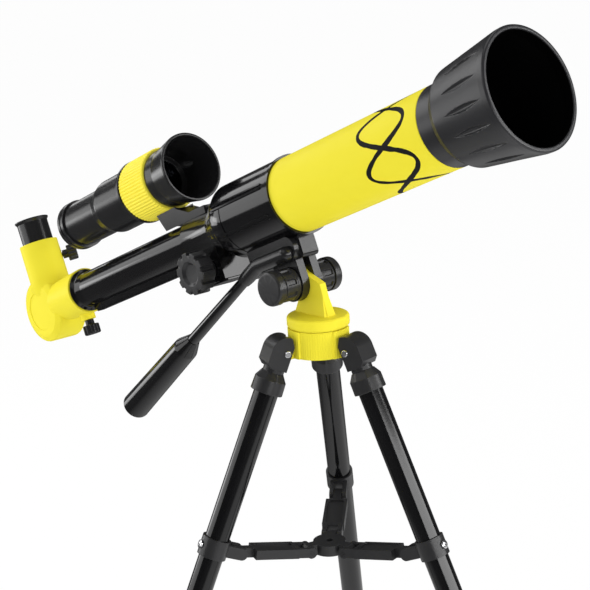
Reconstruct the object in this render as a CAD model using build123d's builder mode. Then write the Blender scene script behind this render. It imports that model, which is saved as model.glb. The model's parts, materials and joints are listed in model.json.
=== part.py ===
from build123d import *
from math import acos, atan2, cos, degrees, hypot, pi, radians, sin, sqrt, tan
import os

# Small refractor telescope on a folding three-legged table tripod.
# Millimetres and degrees. +X is the way the telescope looks, +Y its left side, +Z up.
os.makedirs("parts", exist_ok=True)

# Clearances
FIT = 0.05              # radial clearance of a seated or turning round fit
SLIP = 0.15             # gap between flat faces that slide on each other
GAP = 0.3               # free gap between other faces that pass each other
LAP = 1.0               # how far joined forms of one piece run into each other

# Tripod legs, each set out from a point on its own axis near the crown
LEG_COUNT = 3
FIRST_LEG_AZIMUTH = 10.2
LEG_SPLAY = 23.4
LEG_TOP_HEIGHT = 300.0
LEG_TOP_RADIUS = 26.9
LEG_TUBE_RADIUS = 7.0
LEG_TUBE_WALL = 0.9
HINGE_INSET = 1.8       # hinge pin, inboard of the leg axis
HINGE_RISE = 7.5        # hinge pin, above the leg's set-out point
HINGE_PIN_RADIUS = 1.5
RIVET_HEAD_RADIUS = 2.2
RIVET_HEAD_HEIGHT = 0.8
BRACKET_HALF_WIDTH = 7.0
BRACKET_INNER = 4.8
BRACKET_OUTER = 7.8
BRACKET_TOP = 16.6
BRACKET_BOTTOM = 2.7
BRACKET_SHOULDER = 9.0
PLUG_LENGTH = 26.0
COLLAR_RADIUS = 8.6
COLLAR_TOP = 4.8
COLLAR_LIP = 3.0
COLLAR_LENGTH = 12.0
COLLAR_CHAMFER = 2.0
FOOT_RADIUS = 9.6
FOOT_WALL = 2.4
FOOT_LENGTH = 22.0
FOOT_LIP = 1.6

# Crown that carries the legs
CROWN_RADIUS = 16.5
CROWN_HEIGHT = 15.6
CROWN_BELOW_HINGE = 4.1
CROWN_WALL = 3.6
CROWN_BOSS_RADIUS = 17.4
CROWN_BOSS_HALF_WIDTH = 7.4
LUG_RADIUS = 5.0
LUG_HALF_WIDTH = 3.0

# Spreader that holds the legs apart
CLAMP_FROM_TOP = 109.1
CLAMP_LENGTH = 11.0
CLAMP_WALL = 1.3
PIVOT_INSET = 15.9      # spreader pivot, inboard of the leg axis
PIVOT_PIN_RADIUS = 1.4
CLEVIS_RADIUS = 3.4
CLEVIS_HALF_WIDTH = 5.2
TONGUE_HALF_WIDTH = 2.4
SCREW_HEAD_RADIUS = 2.4
SCREW_HEAD_HEIGHT = 1.5
SCREW_SHANK_RADIUS = 1.1
HUB_HEIGHT = 185.3
HUB_RADIUS = 9.5
HUB_THICKNESS = 6.4
HUB_BORE_RADIUS = 2.0
HUB_PIVOT_RADIUS = 13.6
KNUCKLE_HALF_WIDTH = 3.0
KNUCKLE_RADIUS = 3.2
FORK_HALF_WIDTH = 6.0
ARM_HALF_WIDTH = 6.6
ARM_THICKNESS = 5.6
ARM_START = 8.0
ARM_TONGUE_SHOULDER = 8.0
ARM_POCKET_DEPTH = 1.0
ARM_POCKET_BORDER = 1.6
TONGUE_WALL = 0.9
PIN_ROOM = 0.4          # clearance of the clamp's pin in the tongue's slot
SLOT_OUT = 2.4          # how far the tongue's slot runs on past the pivot
SLOT_IN = 2.3           # how far it runs back towards the hub

# Pan head
FLANGE_RADIUS = 17.6
FLANGE_THICKNESS = 6.8
FLANGE_ROUND = 1.8
SPINDLE_RADIUS = 6.0
PAN_SCREW_RADIUS = 2.0
PAN_SCREW_LENGTH = 12.0
PAN_WASHER_RADIUS = 9.0
PAN_WASHER_THICKNESS = 1.6
TILT_BACK = 13.0
TILT_RISE = 16.7
BOSS_RADIUS = 8.0
BOSS_HALF_WIDTH = 2.2
UPRIGHT_FRONT = 10.3
UPRIGHT_REAR = 14.5
UPRIGHT_HALF_WIDTH = 4.6
RIDGE_FRONT = 5.0
RIDGE_RISE = 18.0
RIDGE_HALF_WIDTH = 0.9
NECK_REAR = 9.0
NECK_RISE = 7.6

# Tilt joint and bracket, set out along the telescope's axis (s) and up from it (h)
ELEVATION = 21.86
TUBE_ABOVE_TILT = 45.4
TILT_S = -32.2
TILT_BOLT_RADIUS = 3.0
EAR_RADIUS = 10.4
EAR_THICKNESS = 5.2
BLOCK_FRONT_S = -16.0
BLOCK_REAR_S = -58.0
BLOCK_HALF_WIDTH = 5.8
BLOCK_BOTTOM_H = -34.0
PLATE_FRONT_S = -17.2
PLATE_Y = -10.0
PLATE_TOP_H = -20.0
KNOB_RADIUS = 8.6
KNOB_LENGTH = 16.4
KNOB_CAP_LENGTH = 5.4
KNOB_CAP_ROUND = 1.6
KNOB_GROOVE = 0.8
KNOB_BARREL_RADIUS = 8.2
KNOB_FLANGE_RADIUS = 9.2
KNOB_FLANGE_LENGTH = 1.8
KNOB_SLOTS = 8
KNOB_SLOT_LENGTH = 5.4
KNOB_SLOT_WIDTH = 2.0
KNOB_SLOT_DEPTH = 0.9
BOLT_IN_KNOB = 9.0

# Pan handle, in a plane beside the bracket
HANDLE_Y = -11.4
SOCKET_S = -24.0
SOCKET_H = -29.3
SOCKET_RADIUS = 4.4
BEND_S = -49.5
HANDLE_DROOP = 18.6
SLEEVE_LENGTH = 17.0
BEND_RADIUS = 12.0
ROD_RADIUS = 3.1
ROD_IN_SLEEVE = 12.0
ROD_IN_GRIP = 30.0
GRIP_START = 96.5       # along the handle from its bend
GRIP_LENGTH = 78.0
GRIP_RADIUS = 6.9
GRIP_NECK_RADIUS = 5.0
GRIP_TAIL_RADIUS = 6.4
GRIP_ROUND = 2.5

# Main tube, hood and objective
TUBE_RADIUS = 21.7
TUBE_WALL = 1.5
TUBE_FRONT_S = 108.4
TUBE_REAR_S = -10.4
TUBE_IN_HOUSING = 14.0
HOOD_SPIGOT = 12.0
HOOD_WALL = 1.8
HOOD_COLLAR_END_S = 118.2
HOOD_SHOULDER_S = 123.6
HOOD_SHOULDER_RADIUS = 26.2
HOOD_STEP_RUN = 1.4
HOOD_STEP_DROP = 2.4
HOOD_RIM_S = 163.9
HOOD_RIM_RADIUS = 31.4
HOOD_MOUTH_RADIUS = 28.8
HOOD_MOUTH_DEPTH = 6.0
HOOD_THROAT_S = 125.0
HOOD_THROAT_RADIUS = 23.4
HOOD_GRIPS = 16
HOOD_GRIP_START_S = 132.0
HOOD_GRIP_END_S = 158.0
HOOD_GRIP_DEPTH = 1.5
LENS_RADIUS = 20.0
LENS_SEAT_S = 110.0
LENS_EDGE = 2.4
LENS_CROWN = 1.5
LENS_RING_THICKNESS = 2.4
LENS_RING_WIDTH = 1.6
LENS_LEDGE = 1.4

# Rear housing and focuser barrel
HOUSING_RADIUS = 22.4
HOUSING_RIM_RADIUS = 23.0
HOUSING_RIM_WIDTH = 2.2
HOUSING_WALL = 2.0
HOUSING_SKIRT = 0.65    # wall of the sleeve over the main tube
HOUSING_SHOULDER_S = -66.0
HOUSING_SEAM_S = -57.0
HOUSING_SEAM_WIDTH = 0.8
HOUSING_SEAM_DEPTH = 0.4
BARREL_RADIUS = 13.6
BARREL_START_S = -84.0
BARREL_END_S = -110.0
RIB_HEIGHT = 0.7
RIB_WIDTH = 1.0
RIB_LENGTH = 47.0
RIB_ANGLES = (28.0, 22.0, -18.0, -24.0)

# Draw tube, rack and pinion
DRAW_RADIUS = 11.6
DRAW_WALL = 1.2
DRAW_FRONT_S = -24.0
DRAW_REAR_S = -262.0
GEAR_MODULE = 0.8
PINION_TEETH = 13
PRESSURE_ANGLE = 20.0
ADDENDUM = 0.75         # in modules
DEDENDUM = 1.0          # in modules
BACKLASH = 0.24
RACK_PITCH_H = -15.6
RACK_HALF_WIDTH = 2.6
RACK_FRONT_S = -42.0
RACK_REAR_S = -238.0
PINION_S = -93.0
PINION_HALF_WIDTH = 4.0
SHAFT_RADIUS = 2.0
BOX_HALF_LENGTH = 10.0
BOX_HALF_WIDTH = 10.5
BOX_BOTTOM_H = -29.0
BOX_WALL = 2.0
COVER_THICKNESS = 1.6
FOCUS_KNOB_RADIUS = 12.6
FOCUS_KNOB_CORE_RADIUS = 11.0
FOCUS_KNOB_THICKNESS = 10.0
FOCUS_KNOB_FACE_Y = 27.0
FOCUS_KNOB_LUGS = 10
FOCUS_KNOB_LUG_WIDTH = 4.2
FOCUS_KNOB_DISH_RADIUS = 7.2
FOCUS_KNOB_DISH_DEPTH = 1.6
FOCUS_KNOB_NECK_RADIUS = 5.0

# Diagonal and eyepiece
EYEPIECE_S = -286.0
DIAGONAL_FRONT_S = -243.5
DIAGONAL_SOCKET_RADIUS = 15.3
DIAGONAL_SOCKET_END_RADIUS = 14.0
DRUM_RADIUS = 21.8
DRUM_S = -289.6
DRUM_H = -2.0
DRUM_HALF_WIDTH = 11.2
DRUM_ROUND = 5.0
COVER_RECESS_RADIUS = 13.3
COVER_RECESS_DEPTH = 0.7
NECK_BASE_H = 17.0
NECK_TOP_H = 44.5
NECK_BASE_RADIUS = 13.5
NECK_TOP_RADIUS = 13.3
NECK_RIM_RADIUS = 14.4
NECK_RIM_HEIGHT = 3.0
SOCKET_BORE_DEPTH = 18.5
LIGHT_PATH_RADIUS = 8.4
MIRROR_HALF_WIDTH = 9.0
MIRROR_LENGTH = 25.0
MIRROR_THICKNESS = 2.0
EYEPIECE_RADIUS = 10.7
EYEPIECE_WALL = 1.3
EYEPIECE_TOP_H = 61.6
EYEPIECE_BOTTOM_H = 23.0
EYEPIECE_LIP_RADIUS = 11.8
EYEPIECE_LIP_HEIGHT = 2.4
EYE_LENS_H = 55.0
EYE_LENS_EDGE = 2.4
EYE_LENS_CROWN = 1.0
THUMB_SHANK_RADIUS = 1.6
THUMB_NECK_RADIUS = 3.0
DRAW_SCREW_NECK = 3.4
EYEPIECE_SCREW_NECK = 3.4
THUMB_KNOB_RADIUS = 5.6
THUMB_KNOB_LENGTH = 6.6
THUMB_LOBES = 8
THUMB_LOBE_RADIUS = 1.1
DRAW_SCREW_S = -253.0
DRAW_LUG_H = -18.6
DRAW_LUG_RADIUS = 5.0
EYEPIECE_SCREW_H = 32.0
EYEPIECE_SCREW_TURN = 58.0   # from straight ahead, towards the left

# Finder scope, parallel to the main tube
FINDER_H = 41.9
BELL_RIM_S = -95.0
BELL_RIM_RADIUS = 21.1
BELL_TUBE_RADIUS = 18.3
BELL_FLARE_S = -112.0
FINDER_RING_FRONT_S = -120.0
FINDER_RING_REAR_S = -147.0
FINDER_RING_RADIUS = 20.2
FINDER_CORE_RADIUS = 17.4
FINDER_FLANGE_RADIUS = 20.3
FINDER_FLANGE_WIDTH = 2.8
FINDER_BODY_RADIUS = 17.6
FINDER_STEP_S = -181.0
FINDER_STEP_LENGTH = 8.0
FINDER_TAIL_RADIUS = 15.0
FINDER_TAIL_END_S = -224.0
FINDER_WALL = 1.6
EYECUP_RADIUS = 16.3
EYECUP_END_S = -232.0
EYECUP_BORE_RADIUS = 10.0
EYECUP_GROOVE = 1.0
EYECUP_CHAMFER = 1.2
FINDER_BAFFLE_S = -124.0
FINDER_BAFFLE_RADIUS = 12.6
FINDER_LENS_EDGE = 2.2
FINDER_LENS_CROWN = 1.2
FINDER_EYE_LENS_S = -228.6
STEM_HALF_WIDTH = 7.0
STEM_LEAN = 11.5
STEM_REAR_S = -138.5
STEM_FRONT_S = -114.0
STEM_FOOT_FRONT_S = -87.0
STEM_FOOT_H = 16.4

# Values worked out from the sizes above
SPLAY = radians(LEG_SPLAY)
HINGE_RADIUS = LEG_TOP_RADIUS - HINGE_INSET * cos(SPLAY) - HINGE_RISE * sin(SPLAY)
HINGE_HEIGHT = LEG_TOP_HEIGHT - HINGE_INSET * sin(SPLAY) + HINGE_RISE * cos(SPLAY)
CROWN_BOTTOM = HINGE_HEIGHT - CROWN_BELOW_HINGE
CROWN_TOP = CROWN_BOTTOM + CROWN_HEIGHT
FLANGE_BOTTOM = CROWN_TOP + SLIP
FLANGE_TOP = FLANGE_BOTTOM + FLANGE_THICKNESS
TILT_HEIGHT = FLANGE_TOP + TILT_RISE
FLOOR_ALONG_LEG = LEG_TOP_HEIGHT / cos(SPLAY)
PIVOT_RADIUS = LEG_TOP_RADIUS - PIVOT_INSET * cos(SPLAY) + CLAMP_FROM_TOP * sin(SPLAY)
PIVOT_HEIGHT = LEG_TOP_HEIGHT - PIVOT_INSET * sin(SPLAY) - CLAMP_FROM_TOP * cos(SPLAY)
ARM_LENGTH = hypot(PIVOT_RADIUS - HUB_PIVOT_RADIUS, PIVOT_HEIGHT - HUB_HEIGHT)
ARM_SLOPE = atan2(PIVOT_HEIGHT - HUB_HEIGHT, PIVOT_RADIUS - HUB_PIVOT_RADIUS)
RISE = radians(ELEVATION)
TILT_H = -TUBE_ABOVE_TILT
EAR_INNER = BOSS_HALF_WIDTH + SLIP
EAR_OUTER = EAR_INNER + EAR_THICKNESS
PITCH_RADIUS = GEAR_MODULE * PINION_TEETH / 2
TOOTH_PITCH = pi * GEAR_MODULE
PINION_H = RACK_PITCH_H - PITCH_RADIUS


def leg_azimuth(leg):
    """Azimuth of one leg, in radians from +X."""
    return radians(FIRST_LEG_AZIMUTH + leg * 360 / LEG_COUNT)


def leg_place(leg):
    """Frame of one leg: z up along its axis, x away from the tripod axis, y sideways."""
    turn = leg_azimuth(leg)
    out = Vector(cos(turn), sin(turn), 0)
    up = Vector(0, 0, 1)
    frame = Plane(
        origin=out * LEG_TOP_RADIUS + up * LEG_TOP_HEIGHT,
        x_dir=out * cos(SPLAY) + up * sin(SPLAY),
        z_dir=up * cos(SPLAY) - out * sin(SPLAY),
    )
    return frame.location


def arm_place(leg):
    """Frame of one spreader arm: origin on its hub pivot, x out along the arm."""
    turn = leg_azimuth(leg)
    out = Vector(cos(turn), sin(turn), 0)
    up = Vector(0, 0, 1)
    frame = Plane(
        origin=out * HUB_PIVOT_RADIUS + up * HUB_HEIGHT,
        x_dir=out * cos(ARM_SLOPE) + up * sin(ARM_SLOPE),
        z_dir=up * cos(ARM_SLOPE) - out * sin(ARM_SLOPE),
    )
    return frame.location


def tube_place():
    """Frame of the telescope: x forward along the main tube, y left, z up across it."""
    along = Vector(cos(RISE), 0, sin(RISE))
    across = Vector(-sin(RISE), 0, cos(RISE))
    tilt_axis = Vector(-TILT_BACK, 0, TILT_HEIGHT)
    frame = Plane(
        origin=tilt_axis - along * TILT_S - across * TILT_H,
        x_dir=along,
        z_dir=across,
    )
    return frame.location


TUBE = tube_place()
pieces = {}


def keep(builder, name, place=Location()):
    """Label a finished piece and set it in its place in the tripod's frame."""
    builder.part.label = name
    pieces[name] = builder.part.moved(place)
    pieces[name].label = name


def lathe(*outline, axis=Axis.X, plane=Plane.XZ, mode=Mode.ADD):
    """Turn a closed outline, given in the plane, about an axis of the part being built."""
    with BuildSketch(plane) as section:
        with BuildLine():
            Polyline(*outline, close=True)
        make_face()
    revolve(section.sketch, axis=axis, mode=mode)


def slab(*outline, low, high, mode=Mode.ADD):
    """Extrude a closed x-z outline sideways from y = low to y = high."""
    with BuildSketch(Plane.XZ.offset(-high)) as section:
        with BuildLine():
            Polyline(*outline, close=True)
        make_face()
    extrude(section.sketch, amount=high - low, mode=mode)


def rod_along_y(x, z, radius, low, high, mode=Mode.ADD):
    """A round bar or bore along y through (x, z)."""
    with BuildSketch(Plane.XZ.offset(-high)) as section:
        with Locations((x, z)):
            Circle(radius)
    extrude(section.sketch, amount=high - low, mode=mode)


def lens(radius, edge, crown, axis, plane):
    """A lens with one flat face at 0 and a crowned face at edge + crown, along the axis."""
    ball = (radius**2 + crown**2) / (2 * crown)
    sag = ball - sqrt(ball**2 - (radius / 2) ** 2)
    with BuildSketch(plane) as section:
        with BuildLine():
            Polyline((0, 0), (0, radius), (edge, radius))
            ThreePointArc((edge, radius), (edge + crown - sag, radius / 2), (edge + crown, 0))
            Line((edge + crown, 0), (0, 0))
        make_face()
    revolve(section.sketch, axis=axis)


# Crown: round hub with a boss and a hinge lug for each leg, open underneath
with BuildPart() as tripod_crown:
    lathe(
        (SPINDLE_RADIUS + FIT, CROWN_BOTTOM + CROWN_WALL),
        (CROWN_RADIUS - CROWN_WALL, CROWN_BOTTOM + CROWN_WALL),
        (CROWN_RADIUS - CROWN_WALL, CROWN_BOTTOM),
        (CROWN_RADIUS, CROWN_BOTTOM),
        (CROWN_RADIUS, CROWN_TOP),
        (SPINDLE_RADIUS + FIT, CROWN_TOP),
        axis=Axis.Z,
    )
    with BuildSketch(Plane.XY.offset(CROWN_BOTTOM)) as bosses:
        with PolarLocations(CROWN_BOSS_RADIUS - CROWN_WALL, LEG_COUNT, FIRST_LEG_AZIMUTH):
            Rectangle(2 * CROWN_WALL, 2 * CROWN_BOSS_HALF_WIDTH)
        Circle(CROWN_BOSS_RADIUS, mode=Mode.INTERSECT)
        Circle(CROWN_RADIUS - CROWN_WALL, mode=Mode.SUBTRACT)
    extrude(bosses.sketch, amount=CROWN_HEIGHT)
    for leg in range(LEG_COUNT):
        turn = leg_azimuth(leg)
        out = Vector(cos(turn), sin(turn), 0)
        lug_side = Plane(
            origin=Vector(0, 0, HINGE_HEIGHT),
            x_dir=out,
            z_dir=Vector(sin(turn), -cos(turn), 0),
        )
        with BuildSketch(lug_side) as lug:
            with BuildLine():
                root = CROWN_RADIUS - CROWN_WALL / 2
                Polyline(
                    (HINGE_RADIUS, LUG_RADIUS),
                    (root, LUG_RADIUS),
                    (root, -CROWN_BELOW_HINGE),
                    (HINGE_RADIUS, -LUG_RADIUS),
                )
                ThreePointArc(
                    (HINGE_RADIUS, -LUG_RADIUS),
                    (HINGE_RADIUS + LUG_RADIUS, 0),
                    (HINGE_RADIUS, LUG_RADIUS),
                )
            make_face()
            with Locations((HINGE_RADIUS, 0)):
                Circle(HINGE_PIN_RADIUS + FIT, mode=Mode.SUBTRACT)
        extrude(lug.sketch, amount=LUG_HALF_WIDTH, both=True)
keep(tripod_crown, "tripod_crown")

# Riveted hinge pins, one for each leg
with BuildPart() as hinge_pins:
    for leg in range(LEG_COUNT):
        turn = leg_azimuth(leg)
        across = Plane(
            origin=(HINGE_RADIUS * cos(turn), HINGE_RADIUS * sin(turn), HINGE_HEIGHT),
            z_dir=(-sin(turn), cos(turn), 0),
        )
        head_start = BRACKET_HALF_WIDTH + SLIP
        with BuildSketch(across) as shank:
            Circle(HINGE_PIN_RADIUS)
        extrude(shank.sketch, amount=head_start, both=True)
        for side in (1, -1):
            with BuildSketch(across.offset(side * head_start)) as head:
                Circle(RIVET_HEAD_RADIUS)
            extrude(head.sketch, amount=side * RIVET_HEAD_HEIGHT, taper=30)
keep(hinge_pins, "hinge_pins")

# Leg bracket: forked block over the crown's lug, with a plug into the leg tube
PLUG_RADIUS = LEG_TUBE_RADIUS - LEG_TUBE_WALL - FIT
with BuildPart() as leg_bracket:
    with BuildSketch(Plane.XZ) as side_view:
        with BuildLine():
            Polyline(
                (BRACKET_OUTER - BRACKET_SHOULDER, BRACKET_TOP),
                (-HINGE_INSET, BRACKET_TOP),
                (-BRACKET_INNER, BRACKET_TOP - BRACKET_INNER),
                (-BRACKET_INNER, -BRACKET_BOTTOM),
                (BRACKET_OUTER - BRACKET_BOTTOM, -BRACKET_BOTTOM),
                (BRACKET_OUTER, 0),
                (BRACKET_OUTER, BRACKET_TOP - BRACKET_SHOULDER),
            )
            RadiusArc(
                (BRACKET_OUTER, BRACKET_TOP - BRACKET_SHOULDER),
                (BRACKET_OUTER - BRACKET_SHOULDER, BRACKET_TOP),
                -BRACKET_SHOULDER,
            )
        make_face()
    extrude(side_view.sketch, amount=BRACKET_HALF_WIDTH, both=True)
    fork = LUG_HALF_WIDTH + GAP
    lug_lean = LUG_RADIUS * sin(SPLAY) + GAP - HINGE_INSET
    slab(
        (-HINGE_INSET, HINGE_RISE),
        (lug_lean, HINGE_RISE),
        (lug_lean, BRACKET_TOP + GAP),
        (-BRACKET_OUTER, BRACKET_TOP + GAP),
        (-BRACKET_OUTER, -BRACKET_BOTTOM - GAP),
        (-HINGE_INSET, -BRACKET_BOTTOM - GAP),
        low=-fork, high=fork, mode=Mode.SUBTRACT,
    )
    rod_along_y(-HINGE_INSET, HINGE_RISE, LUG_RADIUS + GAP, -fork, fork, mode=Mode.SUBTRACT)
    rod_along_y(
        -HINGE_INSET, HINGE_RISE, HINGE_PIN_RADIUS + FIT,
        -BRACKET_HALF_WIDTH, BRACKET_HALF_WIDTH, mode=Mode.SUBTRACT,
    )
    lathe(
        (0, -BRACKET_BOTTOM + 1),
        (PLUG_RADIUS, -BRACKET_BOTTOM + 1),
        (PLUG_RADIUS, -PLUG_LENGTH),
        (0, -PLUG_LENGTH),
        axis=Axis.Z,
    )

# Collar that caps the top of the leg tube
TUBE_TOP = COLLAR_TOP + COLLAR_LIP + SLIP
with BuildPart() as leg_collar:
    lathe(
        (PLUG_RADIUS + FIT, -COLLAR_TOP),
        (COLLAR_RADIUS - COLLAR_CHAMFER, -COLLAR_TOP),
        (COLLAR_RADIUS, -COLLAR_TOP - COLLAR_CHAMFER),
        (COLLAR_RADIUS, -COLLAR_TOP - COLLAR_LENGTH),
        (LEG_TUBE_RADIUS + FIT, -COLLAR_TOP - COLLAR_LENGTH),
        (LEG_TUBE_RADIUS + FIT, -COLLAR_TOP - COLLAR_LIP),
        (PLUG_RADIUS + FIT, -COLLAR_TOP - COLLAR_LIP),
        axis=Axis.Z,
    )

# Leg tube
TUBE_END = FLOOR_ALONG_LEG - FOOT_LENGTH / 2
with BuildPart() as leg_tube:
    lathe(
        (LEG_TUBE_RADIUS - LEG_TUBE_WALL, -TUBE_TOP),
        (LEG_TUBE_RADIUS, -TUBE_TOP),
        (LEG_TUBE_RADIUS, -TUBE_END),
        (LEG_TUBE_RADIUS - LEG_TUBE_WALL, -TUBE_END),
        axis=Axis.Z,
    )

# Rubber foot, cut level where it stands
with BuildPart() as leg_foot:
    lathe(
        (0, -FLOOR_ALONG_LEG - FOOT_RADIUS),
        (FOOT_RADIUS, -FLOOR_ALONG_LEG - FOOT_RADIUS),
        (FOOT_RADIUS, -FLOOR_ALONG_LEG + FOOT_LENGTH / 3),
        (LEG_TUBE_RADIUS + FOOT_WALL - FOOT_LIP, -FLOOR_ALONG_LEG + FOOT_LENGTH),
        (LEG_TUBE_RADIUS + FIT, -FLOOR_ALONG_LEG + FOOT_LENGTH),
        (LEG_TUBE_RADIUS + FIT, -TUBE_END - SLIP),
        (0, -TUBE_END - SLIP),
        axis=Axis.Z,
    )
    floor = Plane(origin=(0, 0, -FLOOR_ALONG_LEG), z_dir=(sin(SPLAY), 0, cos(SPLAY)))
    split(bisect_by=floor, keep=Keep.TOP)

# Spreader clamp: split-look ring on the leg with a two-cheek clevis and its pin
with BuildPart() as spreader_clamp:
    clamp_radius = LEG_TUBE_RADIUS + CLAMP_WALL
    half = CLAMP_LENGTH / 2
    lathe(
        (LEG_TUBE_RADIUS - FIT, -CLAMP_FROM_TOP - half),
        (clamp_radius, -CLAMP_FROM_TOP - half),
        (clamp_radius, -CLAMP_FROM_TOP + half),
        (LEG_TUBE_RADIUS - FIT, -CLAMP_FROM_TOP + half),
        axis=Axis.Z,
    )
    with BuildSketch(Plane.XZ) as cheek:
        with Locations((-PIVOT_INSET, -CLAMP_FROM_TOP)):
            Circle(CLEVIS_RADIUS)
        with Locations((-PIVOT_INSET / 2, -CLAMP_FROM_TOP)):
            Rectangle(PIVOT_INSET, 2 * CLEVIS_RADIUS)
    extrude(cheek.sketch, amount=CLEVIS_HALF_WIDTH, both=True)
    tongue_gap = TONGUE_HALF_WIDTH + GAP
    slab(
        (-PIVOT_INSET - 2 * CLEVIS_RADIUS, -CLAMP_FROM_TOP - half),
        (-clamp_radius, -CLAMP_FROM_TOP - half),
        (-clamp_radius, -CLAMP_FROM_TOP + half),
        (-PIVOT_INSET - 2 * CLEVIS_RADIUS, -CLAMP_FROM_TOP + half),
        low=-tongue_gap, high=tongue_gap, mode=Mode.SUBTRACT,
    )
    rod_along_y(-PIVOT_INSET, -CLAMP_FROM_TOP, PIVOT_PIN_RADIUS, -CLEVIS_HALF_WIDTH, CLEVIS_HALF_WIDTH)
    lathe(
        (0, -CLAMP_FROM_TOP - half),
        (LEG_TUBE_RADIUS + FIT, -CLAMP_FROM_TOP - half),
        (LEG_TUBE_RADIUS + FIT, -CLAMP_FROM_TOP + half),
        (0, -CLAMP_FROM_TOP + half),
        axis=Axis.Z, mode=Mode.SUBTRACT,
    )
    with BuildSketch(Plane.YZ.offset(LEG_TUBE_RADIUS)) as screw_hole:
        with Locations((0, -CLAMP_FROM_TOP)):
            Circle(SCREW_SHANK_RADIUS + FIT)
    extrude(screw_hole.sketch, amount=2 * CLAMP_WALL, mode=Mode.SUBTRACT)

# Screw on the outer side of each clamp
with BuildPart() as clamp_screw:
    head_x = LEG_TUBE_RADIUS + CLAMP_WALL
    with BuildSketch(Plane.YZ.offset(LEG_TUBE_RADIUS + FIT)) as shank:
        with Locations((0, -CLAMP_FROM_TOP)):
            Circle(SCREW_SHANK_RADIUS)
    extrude(shank.sketch, amount=CLAMP_WALL + FIT)
    with BuildSketch(Plane.YZ.offset(head_x + FIT)) as head:
        with Locations((0, -CLAMP_FROM_TOP)):
            Circle(SCREW_HEAD_RADIUS)
    extrude(head.sketch, amount=SCREW_HEAD_HEIGHT, taper=20)

for leg in range(LEG_COUNT):
    keep(leg_bracket, f"leg_bracket_{leg + 1}", leg_place(leg))
    keep(leg_collar, f"leg_collar_{leg + 1}", leg_place(leg))
    keep(leg_tube, f"leg_tube_{leg + 1}", leg_place(leg))
    keep(leg_foot, f"leg_foot_{leg + 1}", leg_place(leg))
    keep(spreader_clamp, f"spreader_clamp_{leg + 1}", leg_place(leg))
    keep(clamp_screw, f"clamp_screw_{leg + 1}", leg_place(leg))

# Spreader hub with three hinge knuckles
with BuildPart() as spreader_hub:
    with BuildSketch(Plane.XY.offset(HUB_HEIGHT - HUB_THICKNESS / 2)) as disc:
        Circle(HUB_RADIUS)
        Circle(HUB_BORE_RADIUS, mode=Mode.SUBTRACT)
    extrude(disc.sketch, amount=HUB_THICKNESS)
    for leg in range(LEG_COUNT):
        turn = leg_azimuth(leg)
        side = Plane(
            origin=(0, 0, HUB_HEIGHT),
            x_dir=(cos(turn), sin(turn), 0),
            z_dir=(sin(turn), -cos(turn), 0),
        )
        with BuildSketch(side) as knuckle:
            with Locations((HUB_PIVOT_RADIUS, 0)):
                Circle(KNUCKLE_RADIUS)
            root = HUB_RADIUS - 1
            with Locations(((HUB_PIVOT_RADIUS + root) / 2, 0)):
                Rectangle(HUB_PIVOT_RADIUS - root, 2 * KNUCKLE_RADIUS)
            with Locations((HUB_PIVOT_RADIUS, 0)):
                Circle(PIVOT_PIN_RADIUS + FIT, mode=Mode.SUBTRACT)
        extrude(knuckle.sketch, amount=KNUCKLE_HALF_WIDTH, both=True)
keep(spreader_hub, "spreader_hub")

# Pins of the hub's three hinges
with BuildPart() as hub_pins:
    for leg in range(LEG_COUNT):
        turn = leg_azimuth(leg)
        across = Plane(
            origin=(HUB_PIVOT_RADIUS * cos(turn), HUB_PIVOT_RADIUS * sin(turn), HUB_HEIGHT),
            z_dir=(-sin(turn), cos(turn), 0),
        )
        with BuildSketch(across) as shank:
            Circle(PIVOT_PIN_RADIUS)
        extrude(shank.sketch, amount=FORK_HALF_WIDTH, both=True)
keep(hub_pins, "hub_pins")

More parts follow.
